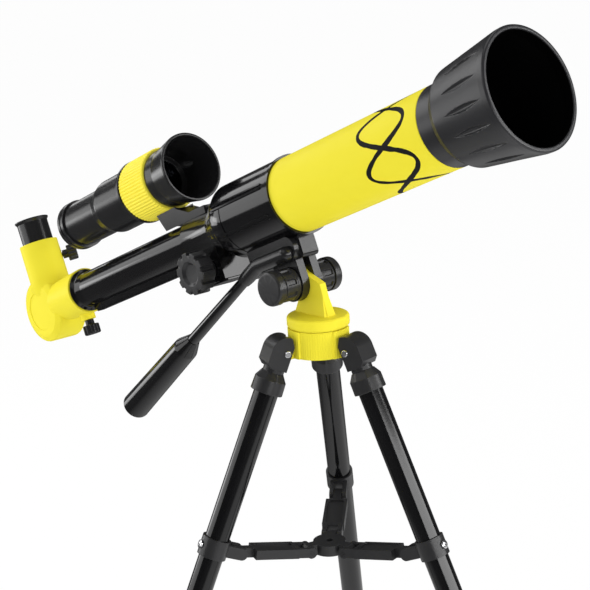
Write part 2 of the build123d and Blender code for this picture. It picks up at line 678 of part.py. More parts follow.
# Spreader arm: fork on the hub's knuckle, ribbed plate, slotted tongue in the clamp's clevis
TONGUE_START = ARM_LENGTH - ARM_TONGUE_SHOULDER
with BuildPart() as spreader_arm:
    half = ARM_THICKNESS / 2
    with BuildSketch(Plane.XZ) as fork_view:
        Circle(KNUCKLE_RADIUS)
        with Locations(((ARM_START + LAP) / 2, 0)):
            Rectangle(ARM_START + LAP, 2 * KNUCKLE_RADIUS - LAP)
        Circle(PIVOT_PIN_RADIUS + FIT, mode=Mode.SUBTRACT)
    extrude(fork_view.sketch, amount=FORK_HALF_WIDTH, both=True)
    knuckle_gap = KNUCKLE_HALF_WIDTH + GAP
    reach = KNUCKLE_RADIUS + GAP
    slab(
        (-2 * reach, -2 * reach), (ARM_START - LAP, -2 * reach),
        (ARM_START - LAP, 2 * reach), (-2 * reach, 2 * reach),
        low=-knuckle_gap, high=knuckle_gap, mode=Mode.SUBTRACT,
    )
    slab(
        (ARM_START, -half), (TONGUE_START, -half), (TONGUE_START, half), (ARM_START, half),
        low=-ARM_HALF_WIDTH, high=ARM_HALF_WIDTH,
    )
    with BuildSketch(Plane.XY.offset(half - ARM_POCKET_DEPTH)) as pocket:
        with Locations(((ARM_START + TONGUE_START) / 2, 0)):
            RectangleRounded(
                TONGUE_START - ARM_START - 2 * ARM_POCKET_BORDER,
                2 * (ARM_HALF_WIDTH - ARM_POCKET_BORDER),
                ARM_POCKET_BORDER,
            )
    extrude(pocket.sketch, amount=ARM_POCKET_DEPTH, mode=Mode.SUBTRACT)
    with BuildSketch(Plane.XZ) as tongue:
        tongue_end = ARM_LENGTH + SLOT_OUT + PIVOT_PIN_RADIUS + PIN_ROOM + TONGUE_WALL
        round_at = tongue_end - half
        with Locations(((TONGUE_START - LAP + round_at) / 2, 0)):
            Rectangle(round_at - TONGUE_START + LAP, ARM_THICKNESS)
        with Locations((round_at, 0)):
            Circle(half)
        slot_length = SLOT_OUT + SLOT_IN
        with Locations((ARM_LENGTH + (SLOT_OUT - SLOT_IN) / 2, 0)):
            SlotCenterToCenter(slot_length, 2 * (PIVOT_PIN_RADIUS + PIN_ROOM), mode=Mode.SUBTRACT)
    extrude(tongue.sketch, amount=TONGUE_HALF_WIDTH, both=True)
for leg in range(LEG_COUNT):
    keep(spreader_arm, f"spreader_arm_{leg + 1}", arm_place(leg))

# Pan head: flange on the crown, spindle through it, and the wedge-shaped upright
with BuildPart() as pan_head:
    lathe(
        (0, CROWN_BOTTOM + CROWN_WALL - SLIP),
        (SPINDLE_RADIUS, CROWN_BOTTOM + CROWN_WALL - SLIP),
        (SPINDLE_RADIUS, FLANGE_BOTTOM),
        (FLANGE_RADIUS, FLANGE_BOTTOM),
        (FLANGE_RADIUS, FLANGE_TOP),
        (0, FLANGE_TOP),
        axis=Axis.Z,
    )
    fillet(pan_head.edges().filter_by(GeomType.CIRCLE).group_by(SortBy.RADIUS)[-1], FLANGE_ROUND)
    with BuildSketch(Plane.XZ) as web:
        with BuildLine():
            Polyline(
                (UPRIGHT_FRONT, FLANGE_TOP),
                (RIDGE_FRONT, FLANGE_TOP + RIDGE_RISE),
                (-TILT_BACK, TILT_HEIGHT + BOSS_RADIUS),
                (-TILT_BACK - BOSS_RADIUS, TILT_HEIGHT),
                (-NECK_REAR, FLANGE_TOP + NECK_RISE),
                (-UPRIGHT_REAR, FLANGE_TOP),
                close=True,
            )
        make_face()
        with Locations((-TILT_BACK, TILT_HEIGHT)):
            Circle(BOSS_RADIUS)
    extrude(web.sketch, amount=BOSS_HALF_WIDTH, both=True)
    with BuildSketch(Plane.XY.offset(FLANGE_TOP - FLANGE_ROUND)) as wedge_foot:
        with Locations(((UPRIGHT_FRONT - UPRIGHT_REAR) / 2, 0)):
            Rectangle(UPRIGHT_FRONT + UPRIGHT_REAR, 2 * UPRIGHT_HALF_WIDTH)
    with BuildSketch(Plane.XY.offset(FLANGE_TOP + RIDGE_RISE)) as wedge_ridge:
        with Locations(((RIDGE_FRONT - NECK_REAR) / 2, 0)):
            Rectangle(RIDGE_FRONT + NECK_REAR, 2 * RIDGE_HALF_WIDTH)
    loft([wedge_foot.sketch, wedge_ridge.sketch])
    ear_clear = EAR_RADIUS + GAP
    for side in (1, -1):
        near = BOSS_HALF_WIDTH
        far = UPRIGHT_HALF_WIDTH + GAP
        rod_along_y(
            -TILT_BACK, TILT_HEIGHT, ear_clear,
            min(side * near, side * far), max(side * near, side * far), mode=Mode.SUBTRACT,
        )
    rod_along_y(
        -TILT_BACK, TILT_HEIGHT, TILT_BOLT_RADIUS + FIT,
        -BOSS_HALF_WIDTH, BOSS_HALF_WIDTH, mode=Mode.SUBTRACT,
    )
    spindle_end = CROWN_BOTTOM + CROWN_WALL - SLIP
    with BuildSketch(Plane.XY.offset(spindle_end)) as screw_bore:
        Circle(PAN_SCREW_RADIUS + FIT)
    extrude(screw_bore.sketch, amount=PAN_SCREW_LENGTH + SLIP, mode=Mode.SUBTRACT)
keep(pan_head, "pan_head")

# Screw and washer that hold the pan head down on the crown
with BuildPart() as pan_screw:
    lathe(
        (0, spindle_end - PAN_WASHER_THICKNESS),
        (PAN_WASHER_RADIUS, spindle_end - PAN_WASHER_THICKNESS),
        (PAN_WASHER_RADIUS, spindle_end),
        (PAN_SCREW_RADIUS, spindle_end),
        (PAN_SCREW_RADIUS, spindle_end + PAN_SCREW_LENGTH),
        (0, spindle_end + PAN_SCREW_LENGTH),
        axis=Axis.Z,
    )
keep(pan_screw, "pan_screw")

# Route of the handle's socket: level beside the bracket, then bent down to the rod
droop = radians(HANDLE_DROOP)
handle_dir = Vector(-cos(droop), 0, -sin(droop))
bend = Vector(BEND_S, HANDLE_Y, SOCKET_H)
sleeve_end = bend + handle_dir * SLEEVE_LENGTH


def socket_bar(radius, mode=Mode.ADD):
    """The socket's bent bar with a round front end, or the room for it."""
    with BuildLine() as route:
        FilletPolyline(
            (SOCKET_S, HANDLE_Y, SOCKET_H), tuple(bend), tuple(sleeve_end), radius=BEND_RADIUS
        )
    with BuildSketch(Plane(origin=(SOCKET_S, HANDLE_Y, SOCKET_H), z_dir=(-1, 0, 0))) as section:
        Circle(radius)
    sweep(section.sketch, path=route.line, mode=mode)
    with Locations((SOCKET_S, HANDLE_Y, SOCKET_H)):
        Sphere(radius, mode=mode)


# Tilt bracket under the housing: saddle block, handle plate and two ears
with BuildPart() as tilt_bracket:
    top_h = -HOUSING_RADIUS / 2
    slab(
        (BLOCK_FRONT_S, top_h), (BLOCK_REAR_S, top_h),
        (BLOCK_REAR_S, BLOCK_BOTTOM_H), (BLOCK_FRONT_S, BLOCK_BOTTOM_H),
        low=-BLOCK_HALF_WIDTH, high=BLOCK_HALF_WIDTH,
    )
    plate_round = (PLATE_TOP_H - BLOCK_BOTTOM_H) / 2
    plate_end = PLATE_FRONT_S - plate_round
    with BuildSketch(Plane.XZ.offset(BLOCK_HALF_WIDTH - LAP)) as handle_plate:
        with BuildLine():
            Polyline(
                (plate_end, PLATE_TOP_H), (BLOCK_REAR_S, PLATE_TOP_H),
                (BLOCK_REAR_S, BLOCK_BOTTOM_H), (plate_end, BLOCK_BOTTOM_H),
            )
            ThreePointArc(
                (plate_end, BLOCK_BOTTOM_H), (PLATE_FRONT_S, BLOCK_BOTTOM_H + plate_round),
                (plate_end, PLATE_TOP_H),
            )
        make_face()
    extrude(handle_plate.sketch, amount=-PLATE_Y - BLOCK_HALF_WIDTH + LAP)
    front_edges = tilt_bracket.edges().filter_by(Axis.Y).group_by(Axis.X)[-1]
    fillet(front_edges.sort_by(Axis.Z)[:1], EAR_THICKNESS / 2)
    for side in (1, -1):
        low = min(side * EAR_INNER, side * EAR_OUTER)
        high = max(side * EAR_INNER, side * EAR_OUTER)
        rod_along_y(TILT_S, TILT_H, EAR_RADIUS, low, high)
        slab(
            (TILT_S - EAR_RADIUS, TILT_H), (TILT_S + EAR_RADIUS, TILT_H),
            (TILT_S + EAR_RADIUS, BLOCK_BOTTOM_H + LAP), (TILT_S - EAR_RADIUS, BLOCK_BOTTOM_H + LAP),
            low=low, high=high,
        )
    rod_along_y(
        TILT_S, TILT_H, TILT_BOLT_RADIUS + FIT, -EAR_OUTER, EAR_OUTER, mode=Mode.SUBTRACT,
    )
    lathe(
        (BLOCK_REAR_S - GAP, 0), (BLOCK_REAR_S - GAP, HOUSING_RADIUS + SLIP),
        (BLOCK_FRONT_S + GAP, HOUSING_RADIUS + SLIP), (BLOCK_FRONT_S + GAP, 0),
        mode=Mode.SUBTRACT,
    )
    socket_bar(SOCKET_RADIUS + FIT, mode=Mode.SUBTRACT)
keep(tilt_bracket, "tilt_bracket", TUBE)

# Tilt bolt through ears and boss, into the knob at each end
BOLT_HALF_LENGTH = EAR_OUTER + GAP + BOLT_IN_KNOB
with BuildPart() as tilt_bolt:
    rod_along_y(TILT_S, TILT_H, TILT_BOLT_RADIUS, -BOLT_HALF_LENGTH, BOLT_HALF_LENGTH)
keep(tilt_bolt, "tilt_bolt", TUBE)

# Clamp knob: capped barrel with finger slots
with BuildPart() as tilt_knob:
    barrel_end = KNOB_LENGTH - KNOB_CAP_LENGTH
    lathe(
        (TILT_BOLT_RADIUS + FIT, 0),
        (KNOB_FLANGE_RADIUS, 0),
        (KNOB_FLANGE_RADIUS, KNOB_FLANGE_LENGTH),
        (KNOB_BARREL_RADIUS, KNOB_FLANGE_LENGTH),
        (KNOB_BARREL_RADIUS, barrel_end - KNOB_GROOVE),
        (KNOB_BARREL_RADIUS - KNOB_GROOVE, barrel_end - KNOB_GROOVE),
        (KNOB_BARREL_RADIUS - KNOB_GROOVE, barrel_end),
        (KNOB_RADIUS, barrel_end),
        (KNOB_RADIUS, KNOB_LENGTH),
        (0, KNOB_LENGTH),
        (0, BOLT_IN_KNOB + SLIP),
        (TILT_BOLT_RADIUS + FIT, BOLT_IN_KNOB + SLIP),
        axis=Axis.Z,
    )
    fillet(tilt_knob.edges().filter_by(GeomType.CIRCLE).sort_by(Axis.Z)[-1], KNOB_CAP_ROUND)
    with PolarLocations(KNOB_BARREL_RADIUS, KNOB_SLOTS):
        with Locations((0, 0, (barrel_end - KNOB_GROOVE + KNOB_FLANGE_LENGTH) / 2)):
            Box(2 * KNOB_SLOT_DEPTH, KNOB_SLOT_WIDTH, KNOB_SLOT_LENGTH, mode=Mode.SUBTRACT)
for side, name in ((-1, "tilt_knob_right"), (1, "tilt_knob_left")):
    face = Plane(
        origin=(TILT_S, side * (EAR_OUTER + GAP), TILT_H), x_dir=(1, 0, 0), z_dir=(0, side, 0)
    )
    keep(tilt_knob, name, TUBE * face.location)

# Pan handle: bent socket, steel rod and moulded grip
with BuildPart() as handle_socket:
    socket_bar(SOCKET_RADIUS)
    rod_seat = Plane(origin=sleeve_end - handle_dir * ROD_IN_SLEEVE, z_dir=handle_dir)
    with BuildSketch(rod_seat) as rod_bore:
        Circle(ROD_RADIUS + FIT)
    extrude(rod_bore.sketch, amount=2 * ROD_IN_SLEEVE, mode=Mode.SUBTRACT)
keep(handle_socket, "handle_socket", TUBE)

ROD_START = SLEEVE_LENGTH - ROD_IN_SLEEVE + SLIP
ROD_END = GRIP_START + ROD_IN_GRIP
HANDLE = TUBE * Plane(origin=bend, x_dir=(0, 1, 0), z_dir=handle_dir).location
with BuildPart() as handle_rod:
    lathe(
        (0, ROD_START), (ROD_RADIUS, ROD_START), (ROD_RADIUS, ROD_END), (0, ROD_END),
        axis=Axis.Z,
    )
keep(handle_rod, "handle_rod", HANDLE)

with BuildPart() as handle_grip:
    grip_end = GRIP_START + GRIP_LENGTH
    with BuildSketch(Plane.XZ) as grip_section:
        with BuildLine():
            Polyline(
                (GRIP_TAIL_RADIUS, grip_end), (0, grip_end), (0, ROD_END + SLIP),
                (ROD_RADIUS + FIT, ROD_END + SLIP), (ROD_RADIUS + FIT, GRIP_START),
                (GRIP_NECK_RADIUS, GRIP_START),
            )
            Spline(
                (GRIP_NECK_RADIUS, GRIP_START),
                (GRIP_RADIUS, GRIP_START + GRIP_LENGTH * 0.45),
                (GRIP_TAIL_RADIUS, grip_end),
            )
        make_face()
    revolve(grip_section.sketch, axis=Axis.Z)
    tail_edge = handle_grip.edges().filter_by(GeomType.CIRCLE).sort_by(Axis.Z)[-1]
    fillet(tail_edge, GRIP_ROUND)
keep(handle_grip, "handle_grip", HANDLE)

# Main tube, turned down at its seat where the housing's sleeve is narrower
TUBE_BORE = TUBE_RADIUS - TUBE_WALL
TUBE_SEAT = min(TUBE_RADIUS, HOUSING_RADIUS - HOUSING_SKIRT - FIT)
with BuildPart() as main_tube:
    rear = TUBE_REAR_S - TUBE_IN_HOUSING
    neck = TUBE_REAR_S + SLIP
    lathe(
        (neck, TUBE_BORE), (neck, TUBE_RADIUS), (TUBE_FRONT_S, TUBE_RADIUS), (TUBE_FRONT_S, TUBE_BORE),
    )
    lathe(
        (neck, TUBE_SEAT - TUBE_WALL), (neck, TUBE_RADIUS),
        (neck + TUBE_WALL, TUBE_RADIUS), (neck + TUBE_WALL, TUBE_SEAT - TUBE_WALL),
    )
    lathe(
        (rear, TUBE_SEAT - TUBE_WALL), (rear, TUBE_SEAT), (neck, TUBE_SEAT), (neck, TUBE_SEAT - TUBE_WALL),
    )
keep(main_tube, "main_tube", TUBE)

# Lens hood: spigot in the main tube, lens seat, flared bell with finger hollows
LENS_FRONT_S = LENS_SEAT_S + LENS_EDGE + LENS_CROWN
with BuildPart() as lens_hood:
    spigot = TUBE_BORE - FIT
    ring_front = LENS_SEAT_S + LENS_EDGE + GAP + LENS_RING_THICKNESS
    lathe(
        (TUBE_FRONT_S - HOOD_SPIGOT, spigot - HOOD_WALL),
        (TUBE_FRONT_S - HOOD_SPIGOT, spigot),
        (TUBE_FRONT_S + SLIP, spigot),
        (TUBE_FRONT_S + SLIP, TUBE_RADIUS),
        (HOOD_COLLAR_END_S, TUBE_RADIUS),
        (HOOD_COLLAR_END_S + HOOD_STEP_RUN, HOOD_SHOULDER_RADIUS - HOOD_STEP_DROP),
        (HOOD_SHOULDER_S, HOOD_SHOULDER_RADIUS),
        (HOOD_RIM_S - HOOD_WALL, HOOD_RIM_RADIUS),
        (HOOD_RIM_S, HOOD_RIM_RADIUS),
        (HOOD_RIM_S, HOOD_MOUTH_RADIUS),
        (HOOD_RIM_S - HOOD_MOUTH_DEPTH, HOOD_MOUTH_RADIUS),
        (HOOD_THROAT_S, HOOD_THROAT_RADIUS),
        (ring_front, LENS_RADIUS + FIT),
        (LENS_SEAT_S, LENS_RADIUS + FIT),
        (LENS_SEAT_S, spigot - HOOD_WALL),
    )
    flare = atan2(HOOD_RIM_RADIUS - HOOD_SHOULDER_RADIUS, HOOD_RIM_S - HOOD_WALL - HOOD_SHOULDER_S)
    grip_half = (HOOD_GRIP_END_S - HOOD_GRIP_START_S) / 2
    grip_mid_s = (HOOD_GRIP_END_S + HOOD_GRIP_START_S) / 2
    grip_mid_r = HOOD_SHOULDER_RADIUS + (grip_mid_s - HOOD_SHOULDER_S) * tan(flare)
    with BuildSketch(Plane.XZ) as hollow_half:
        with BuildLine():
            ThreePointArc((-grip_half, 0), (0, HOOD_GRIP_DEPTH), (grip_half, 0))
            Line((grip_half, 0), (-grip_half, 0))
        make_face()
    hollow = revolve(hollow_half.sketch, axis=Axis.X, mode=Mode.PRIVATE)
    tilted = Location((grip_mid_s, 0, grip_mid_r), (0, -degrees(flare), 0))
    for grip in range(HOOD_GRIPS):
        turned = Location((0, 0, 0), (grip * 360 / HOOD_GRIPS, 0, 0))
        add(hollow.moved(turned * tilted), mode=Mode.SUBTRACT)
keep(lens_hood, "lens_hood", TUBE)

# Objective lens and the ring that holds it
with BuildPart() as objective_lens:
    lens(LENS_RADIUS, LENS_EDGE, LENS_CROWN, Axis.X, Plane.XZ)
keep(objective_lens, "objective_lens", TUBE * Location((LENS_SEAT_S, 0, 0)))

with BuildPart() as lens_ring:
    ring_rear = LENS_SEAT_S + LENS_EDGE + GAP
    lathe(
        (ring_rear, LENS_RADIUS - LENS_RING_WIDTH), (ring_rear, LENS_RADIUS),
        (ring_rear + LENS_RING_THICKNESS, LENS_RADIUS),
        (ring_rear + LENS_RING_THICKNESS, LENS_RADIUS - LENS_RING_WIDTH),
    )
keep(lens_ring, "lens_ring", TUBE)

# Rear housing: ribbed sleeve, tapered shoulder, focuser barrel and pinion box
with BuildPart() as rear_housing:
    seam = HOUSING_SEAM_S
    bore = DRAW_RADIUS + GAP
    lathe(
        (TUBE_REAR_S, TUBE_SEAT + FIT),
        (TUBE_REAR_S, HOUSING_RIM_RADIUS),
        (TUBE_REAR_S - HOUSING_RIM_WIDTH, HOUSING_RIM_RADIUS),
        (TUBE_REAR_S - HOUSING_RIM_WIDTH, HOUSING_RADIUS),
        (seam + HOUSING_SEAM_WIDTH, HOUSING_RADIUS),
        (seam + HOUSING_SEAM_WIDTH, HOUSING_RADIUS - HOUSING_SEAM_DEPTH),
        (seam, HOUSING_RADIUS - HOUSING_SEAM_DEPTH),
        (seam, HOUSING_RADIUS),
        (HOUSING_SHOULDER_S, HOUSING_RADIUS),
        (BARREL_START_S, BARREL_RADIUS),
        (BARREL_END_S, BARREL_RADIUS),
        (BARREL_END_S, bore),
        (BARREL_START_S, bore),
        (HOUSING_SHOULDER_S, HOUSING_RADIUS - 2 * HOUSING_WALL),
        (TUBE_REAR_S - TUBE_IN_HOUSING - SLIP, HOUSING_RADIUS - 2 * HOUSING_WALL),
        (TUBE_REAR_S - TUBE_IN_HOUSING - SLIP, TUBE_SEAT + FIT),
    )
    with BuildSketch(Plane.XZ) as rib_section:
        with Locations((seam + HOUSING_SEAM_WIDTH - RIB_LENGTH / 6 + RIB_LENGTH / 2, HOUSING_RADIUS)):
            Rectangle(RIB_LENGTH, 2 * RIB_HEIGHT)
    rib = extrude(rib_section.sketch, amount=RIB_WIDTH / 2, both=True, mode=Mode.PRIVATE)
    for angle in RIB_ANGLES:
        for turn in (90 - angle, angle - 90):
            add(rib.moved(Location((0, 0, 0), (turn, 0, 0))))
    box_front = PINION_S + BOX_HALF_LENGTH
    box_rear = PINION_S - BOX_HALF_LENGTH
    slab(
        (box_front, -BARREL_RADIUS / 2), (box_rear, -BARREL_RADIUS / 2),
        (box_rear, BOX_BOTTOM_H), (box_front, BOX_BOTTOM_H),
        low=-BOX_HALF_WIDTH, high=BOX_HALF_WIDTH,
    )
    slab(
        (box_front - BOX_WALL, -BARREL_RADIUS / 2), (box_rear + BOX_WALL, -BARREL_RADIUS / 2),
        (box_rear + BOX_WALL, BOX_BOTTOM_H), (box_front - BOX_WALL, BOX_BOTTOM_H),
        low=-BOX_HALF_WIDTH + BOX_WALL, high=BOX_HALF_WIDTH - BOX_WALL, mode=Mode.SUBTRACT,
    )
    rod_along_y(
        PINION_S, PINION_H, SHAFT_RADIUS + FIT, -BOX_HALF_WIDTH, BOX_HALF_WIDTH, mode=Mode.SUBTRACT
    )
    lathe(
        (BARREL_END_S - GAP, 0), (BARREL_END_S - GAP, bore),
        (box_front + GAP, bore), (box_front + GAP, 0),
        mode=Mode.SUBTRACT,
    )
    slot_bottom = RACK_PITCH_H - ADDENDUM * GEAR_MODULE - GAP
    slot_front = TUBE_REAR_S - TUBE_IN_HOUSING - SLIP
    slab(
        (slot_front, 0), (BARREL_END_S - GAP, 0),
        (BARREL_END_S - GAP, slot_bottom), (slot_front, slot_bottom),
        low=-RACK_HALF_WIDTH - GAP, high=RACK_HALF_WIDTH + GAP, mode=Mode.SUBTRACT,
    )
keep(rear_housing, "rear_housing", TUBE)

# Plate that closes the pinion box
with BuildPart() as pinion_cover:
    slab(
        (box_front, BOX_BOTTOM_H), (box_rear, BOX_BOTTOM_H),
        (box_rear, BOX_BOTTOM_H - COVER_THICKNESS), (box_front, BOX_BOTTOM_H - COVER_THICKNESS),
        low=-BOX_HALF_WIDTH, high=BOX_HALF_WIDTH,
    )
    fillet(pinion_cover.edges().filter_by(Axis.Z), BOX_WALL)
keep(pinion_cover, "pinion_cover", TUBE)

# Draw tube
with BuildPart() as draw_tube:
    lathe(
        (DRAW_REAR_S, DRAW_RADIUS - DRAW_WALL), (DRAW_REAR_S, DRAW_RADIUS),
        (DRAW_FRONT_S, DRAW_RADIUS), (DRAW_FRONT_S, DRAW_RADIUS - DRAW_WALL),
    )
keep(draw_tube, "draw_tube", TUBE)

# Rack under the draw tube: straight-flanked teeth, a space above the pinion's top tooth
with BuildPart() as focus_rack:
    flank = tan(radians(PRESSURE_ANGLE))
    half_tooth = TOOTH_PITCH / 4 - BACKLASH / 4
    tip_h = RACK_PITCH_H - ADDENDUM * GEAR_MODULE
    root_h = RACK_PITCH_H + DEDENDUM * GEAR_MODULE
    half_tip = half_tooth - ADDENDUM * GEAR_MODULE * flank
    half_root = half_tooth + DEDENDUM * GEAR_MODULE * flank
    first = int((RACK_REAR_S - PINION_S) / TOOTH_PITCH)
    last = int((RACK_FRONT_S - PINION_S) / TOOTH_PITCH)
    toothed_edge = []
    for tooth in range(first, last):
        middle = PINION_S + (tooth + 0.5) * TOOTH_PITCH
        toothed_edge += [
            (middle - half_root, root_h), (middle - half_tip, tip_h),
            (middle + half_tip, tip_h), (middle + half_root, root_h),
        ]
    slab(
        (RACK_FRONT_S, root_h), (RACK_FRONT_S, -DRAW_RADIUS / 2),
        (RACK_REAR_S, -DRAW_RADIUS / 2), (RACK_REAR_S, root_h), *toothed_edge,
        low=-RACK_HALF_WIDTH, high=RACK_HALF_WIDTH,
    )
    lathe(
        (RACK_REAR_S - GAP, 0), (RACK_REAR_S - GAP, DRAW_RADIUS + FIT),
        (RACK_FRONT_S + GAP, DRAW_RADIUS + FIT), (RACK_FRONT_S + GAP, 0),
        mode=Mode.SUBTRACT,
    )
keep(focus_rack, "focus_rack", TUBE)


def involute(angle):
    """The involute function, tan(angle) - angle."""
    return tan(angle) - angle


def pinion_outline():
    """Corners of the pinion, tooth by tooth, with a tooth pointing straight up."""
    pressure = radians(PRESSURE_ANGLE)
    base = PITCH_RADIUS * cos(pressure)
    root = PITCH_RADIUS - DEDENDUM * GEAR_MODULE
    tip = PITCH_RADIUS + ADDENDUM * GEAR_MODULE
    at_pitch = (TOOTH_PITCH / 4 - BACKLASH / 4) / PITCH_RADIUS
    radii = [base, PITCH_RADIUS, (PITCH_RADIUS + tip) / 2, tip]
    halves = [at_pitch + involute(pressure) - involute(acos(base / radius)) for radius in radii]
    flank = [(root, halves[0])] + list(zip(radii, halves))
    corners = []
    for tooth in range(PINION_TEETH):
        middle = pi / 2 + tooth * 2 * pi / PINION_TEETH
        rising = [(radius, middle + half) for radius, half in reversed(flank)]
        falling = [(radius, middle - half) for radius, half in flank]
        for radius, angle in falling + rising:
            corners.append((radius * cos(angle), radius * sin(angle)))
    return corners


# Pinion and its shaft, turned by the knobs
SHAFT_END_Y = FOCUS_KNOB_FACE_Y - FOCUS_KNOB_DISH_DEPTH - BOX_WALL
with BuildPart() as pinion_shaft:
    with BuildSketch(Plane.XZ) as gear:
        with BuildLine():
            Polyline(*pinion_outline(), close=True)
        make_face()
    extrude(gear.sketch, amount=PINION_HALF_WIDTH, both=True)
    rod_along_y(0, 0, SHAFT_RADIUS, -SHAFT_END_Y, SHAFT_END_Y)
keep(pinion_shaft, "pinion_shaft", TUBE * Location((PINION_S, 0, PINION_H)))

# Focus knob: lugged rim, dished face, short neck towards the box
with BuildPart() as focus_knob:
    inner = FOCUS_KNOB_FACE_Y - FOCUS_KNOB_THICKNESS
    dish = FOCUS_KNOB_FACE_Y - FOCUS_KNOB_DISH_DEPTH
    lathe(
        (SHAFT_RADIUS + FIT, BOX_HALF_WIDTH + GAP),
        (FOCUS_KNOB_NECK_RADIUS, BOX_HALF_WIDTH + GAP),
        (FOCUS_KNOB_NECK_RADIUS, inner),
        (FOCUS_KNOB_CORE_RADIUS, inner),
        (FOCUS_KNOB_CORE_RADIUS, FOCUS_KNOB_FACE_Y),
        (FOCUS_KNOB_DISH_RADIUS, FOCUS_KNOB_FACE_Y),
        (FOCUS_KNOB_DISH_RADIUS - FOCUS_KNOB_DISH_DEPTH, dish),
        (0, dish),
        (0, SHAFT_END_Y + SLIP),
        (SHAFT_RADIUS + FIT, SHAFT_END_Y + SLIP),
        axis=Axis.Z,
    )
    with BuildSketch(Plane.XY.offset(inner)) as lugs:
        lug_middle = (FOCUS_KNOB_RADIUS + FOCUS_KNOB_CORE_RADIUS) / 2 - 0.5
        with PolarLocations(lug_middle, FOCUS_KNOB_LUGS):
            RectangleRounded(
                FOCUS_KNOB_RADIUS - FOCUS_KNOB_CORE_RADIUS + 1, FOCUS_KNOB_LUG_WIDTH, 0.6
            )
    extrude(lugs.sketch, amount=FOCUS_KNOB_THICKNESS - 0.6)
for side, name in ((-1, "focus_knob_right"), (1, "focus_knob_left")):
    face = Plane(origin=(PINION_S, 0, PINION_H), x_dir=(1, 0, 0), z_dir=(0, side, 0))
    keep(focus_knob, name, TUBE * face.location)

# Light path through the diagonal: two bores that meet at the mirror
MIRROR_FACE = Plane(origin=(EYEPIECE_S, 0, 0), x_dir=(0, 1, 0), z_dir=(1, 0, 1))
with BuildPart() as light_path:
    lathe(
        (EYEPIECE_S - DRUM_RADIUS, 0), (EYEPIECE_S - DRUM_RADIUS, LIGHT_PATH_RADIUS),
        (DIAGONAL_FRONT_S, LIGHT_PATH_RADIUS), (DIAGONAL_FRONT_S, 0),
    )
    with BuildSketch(Plane.XY.offset(-DRUM_RADIUS)) as rising_bore:
        with Locations((EYEPIECE_S, 0)):
            Circle(LIGHT_PATH_RADIUS)
    extrude(rising_bore.sketch, amount=DRUM_RADIUS + NECK_TOP_H)
    split(bisect_by=MIRROR_FACE, keep=Keep.TOP)

screw_dir = Vector(cos(radians(EYEPIECE_SCREW_TURN)), sin(radians(EYEPIECE_SCREW_TURN)), 0)
EYEPIECE_SCREW_FACE = Plane(
    origin=Vector(EYEPIECE_S, 0, EYEPIECE_SCREW_H) + screw_dir * (EYEPIECE_RADIUS + GAP),
    x_dir=(0, 0, 1), z_dir=screw_dir,
)

# Diagonal body: drum with a socket for the draw tube and a neck for the eyepiece
with BuildPart() as diagonal_body:
    rod_along_y(DRUM_S, DRUM_H, DRUM_RADIUS, -DRUM_HALF_WIDTH, DRUM_HALF_WIDTH)
    fillet(diagonal_body.edges().filter_by(GeomType.CIRCLE), DRUM_ROUND)
    lathe(
        (DIAGONAL_FRONT_S, 0), (DIAGONAL_FRONT_S, DIAGONAL_SOCKET_RADIUS),
        (EYEPIECE_S + DRUM_RADIUS / 2, DIAGONAL_SOCKET_END_RADIUS), (EYEPIECE_S, 0),
    )
    neck_axis = Axis((EYEPIECE_S, 0, 0), (0, 0, 1))
    lathe(
        (EYEPIECE_S, 0), (EYEPIECE_S + LIGHT_PATH_RADIUS, 0),
        (EYEPIECE_S + NECK_RIM_RADIUS, NECK_BASE_H - NECK_RIM_HEIGHT),
        (EYEPIECE_S + NECK_RIM_RADIUS, NECK_BASE_H), (EYEPIECE_S + NECK_BASE_RADIUS, NECK_BASE_H),
        (EYEPIECE_S + NECK_TOP_RADIUS, NECK_TOP_H), (EYEPIECE_S, NECK_TOP_H),
        axis=neck_axis,
    )
    with BuildSketch(Plane.XY.offset(DRAW_LUG_H)) as screw_lug:
        with Locations((DRAW_SCREW_S, 0)):
            Circle(DRAW_LUG_RADIUS)
    extrude(screw_lug.sketch, amount=-DRAW_LUG_H - DRAW_RADIUS / 2)
    for side in (1, -1):
        recess_floor = DRUM_HALF_WIDTH - COVER_RECESS_DEPTH
        rod_along_y(
            DRUM_S, DRUM_H, COVER_RECESS_RADIUS,
            min(side * recess_floor, side * DRUM_HALF_WIDTH),
            max(side * recess_floor, side * DRUM_HALF_WIDTH), mode=Mode.SUBTRACT,
        )
    socket_end = DIAGONAL_FRONT_S - SOCKET_BORE_DEPTH - SLIP
    lathe(
        (DIAGONAL_FRONT_S + GAP, 0), (DIAGONAL_FRONT_S + GAP, DRAW_RADIUS + FIT),
        (socket_end, DRAW_RADIUS + FIT), (socket_end, 0), mode=Mode.SUBTRACT,
    )
    lathe(
        (EYEPIECE_S, EYEPIECE_BOTTOM_H - SLIP),
        (EYEPIECE_S + EYEPIECE_RADIUS + FIT, EYEPIECE_BOTTOM_H - SLIP),
        (EYEPIECE_S + EYEPIECE_RADIUS + FIT, NECK_TOP_H + GAP), (EYEPIECE_S, NECK_TOP_H + GAP),
        axis=neck_axis, mode=Mode.SUBTRACT,
    )
    add(light_path.part, mode=Mode.SUBTRACT)
    with BuildSketch(MIRROR_FACE) as mirror_pocket:
        Rectangle(2 * (MIRROR_HALF_WIDTH + FIT), MIRROR_LENGTH + 2 * FIT)
    extrude(mirror_pocket.sketch, amount=-MIRROR_THICKNESS - FIT, mode=Mode.SUBTRACT)
    with BuildSketch(Plane.XY.offset(DRAW_LUG_H - GAP)) as lower_hole:
        with Locations((DRAW_SCREW_S, 0)):
            Circle(THUMB_SHANK_RADIUS + FIT)
    extrude(lower_hole.sketch, amount=-DRAW_LUG_H + GAP, mode=Mode.SUBTRACT)
    with BuildSketch(EYEPIECE_SCREW_FACE) as upper_hole:
        Circle(THUMB_SHANK_RADIUS + FIT)
    extrude(upper_hole.sketch, amount=NECK_RIM_RADIUS, mode=Mode.SUBTRACT)
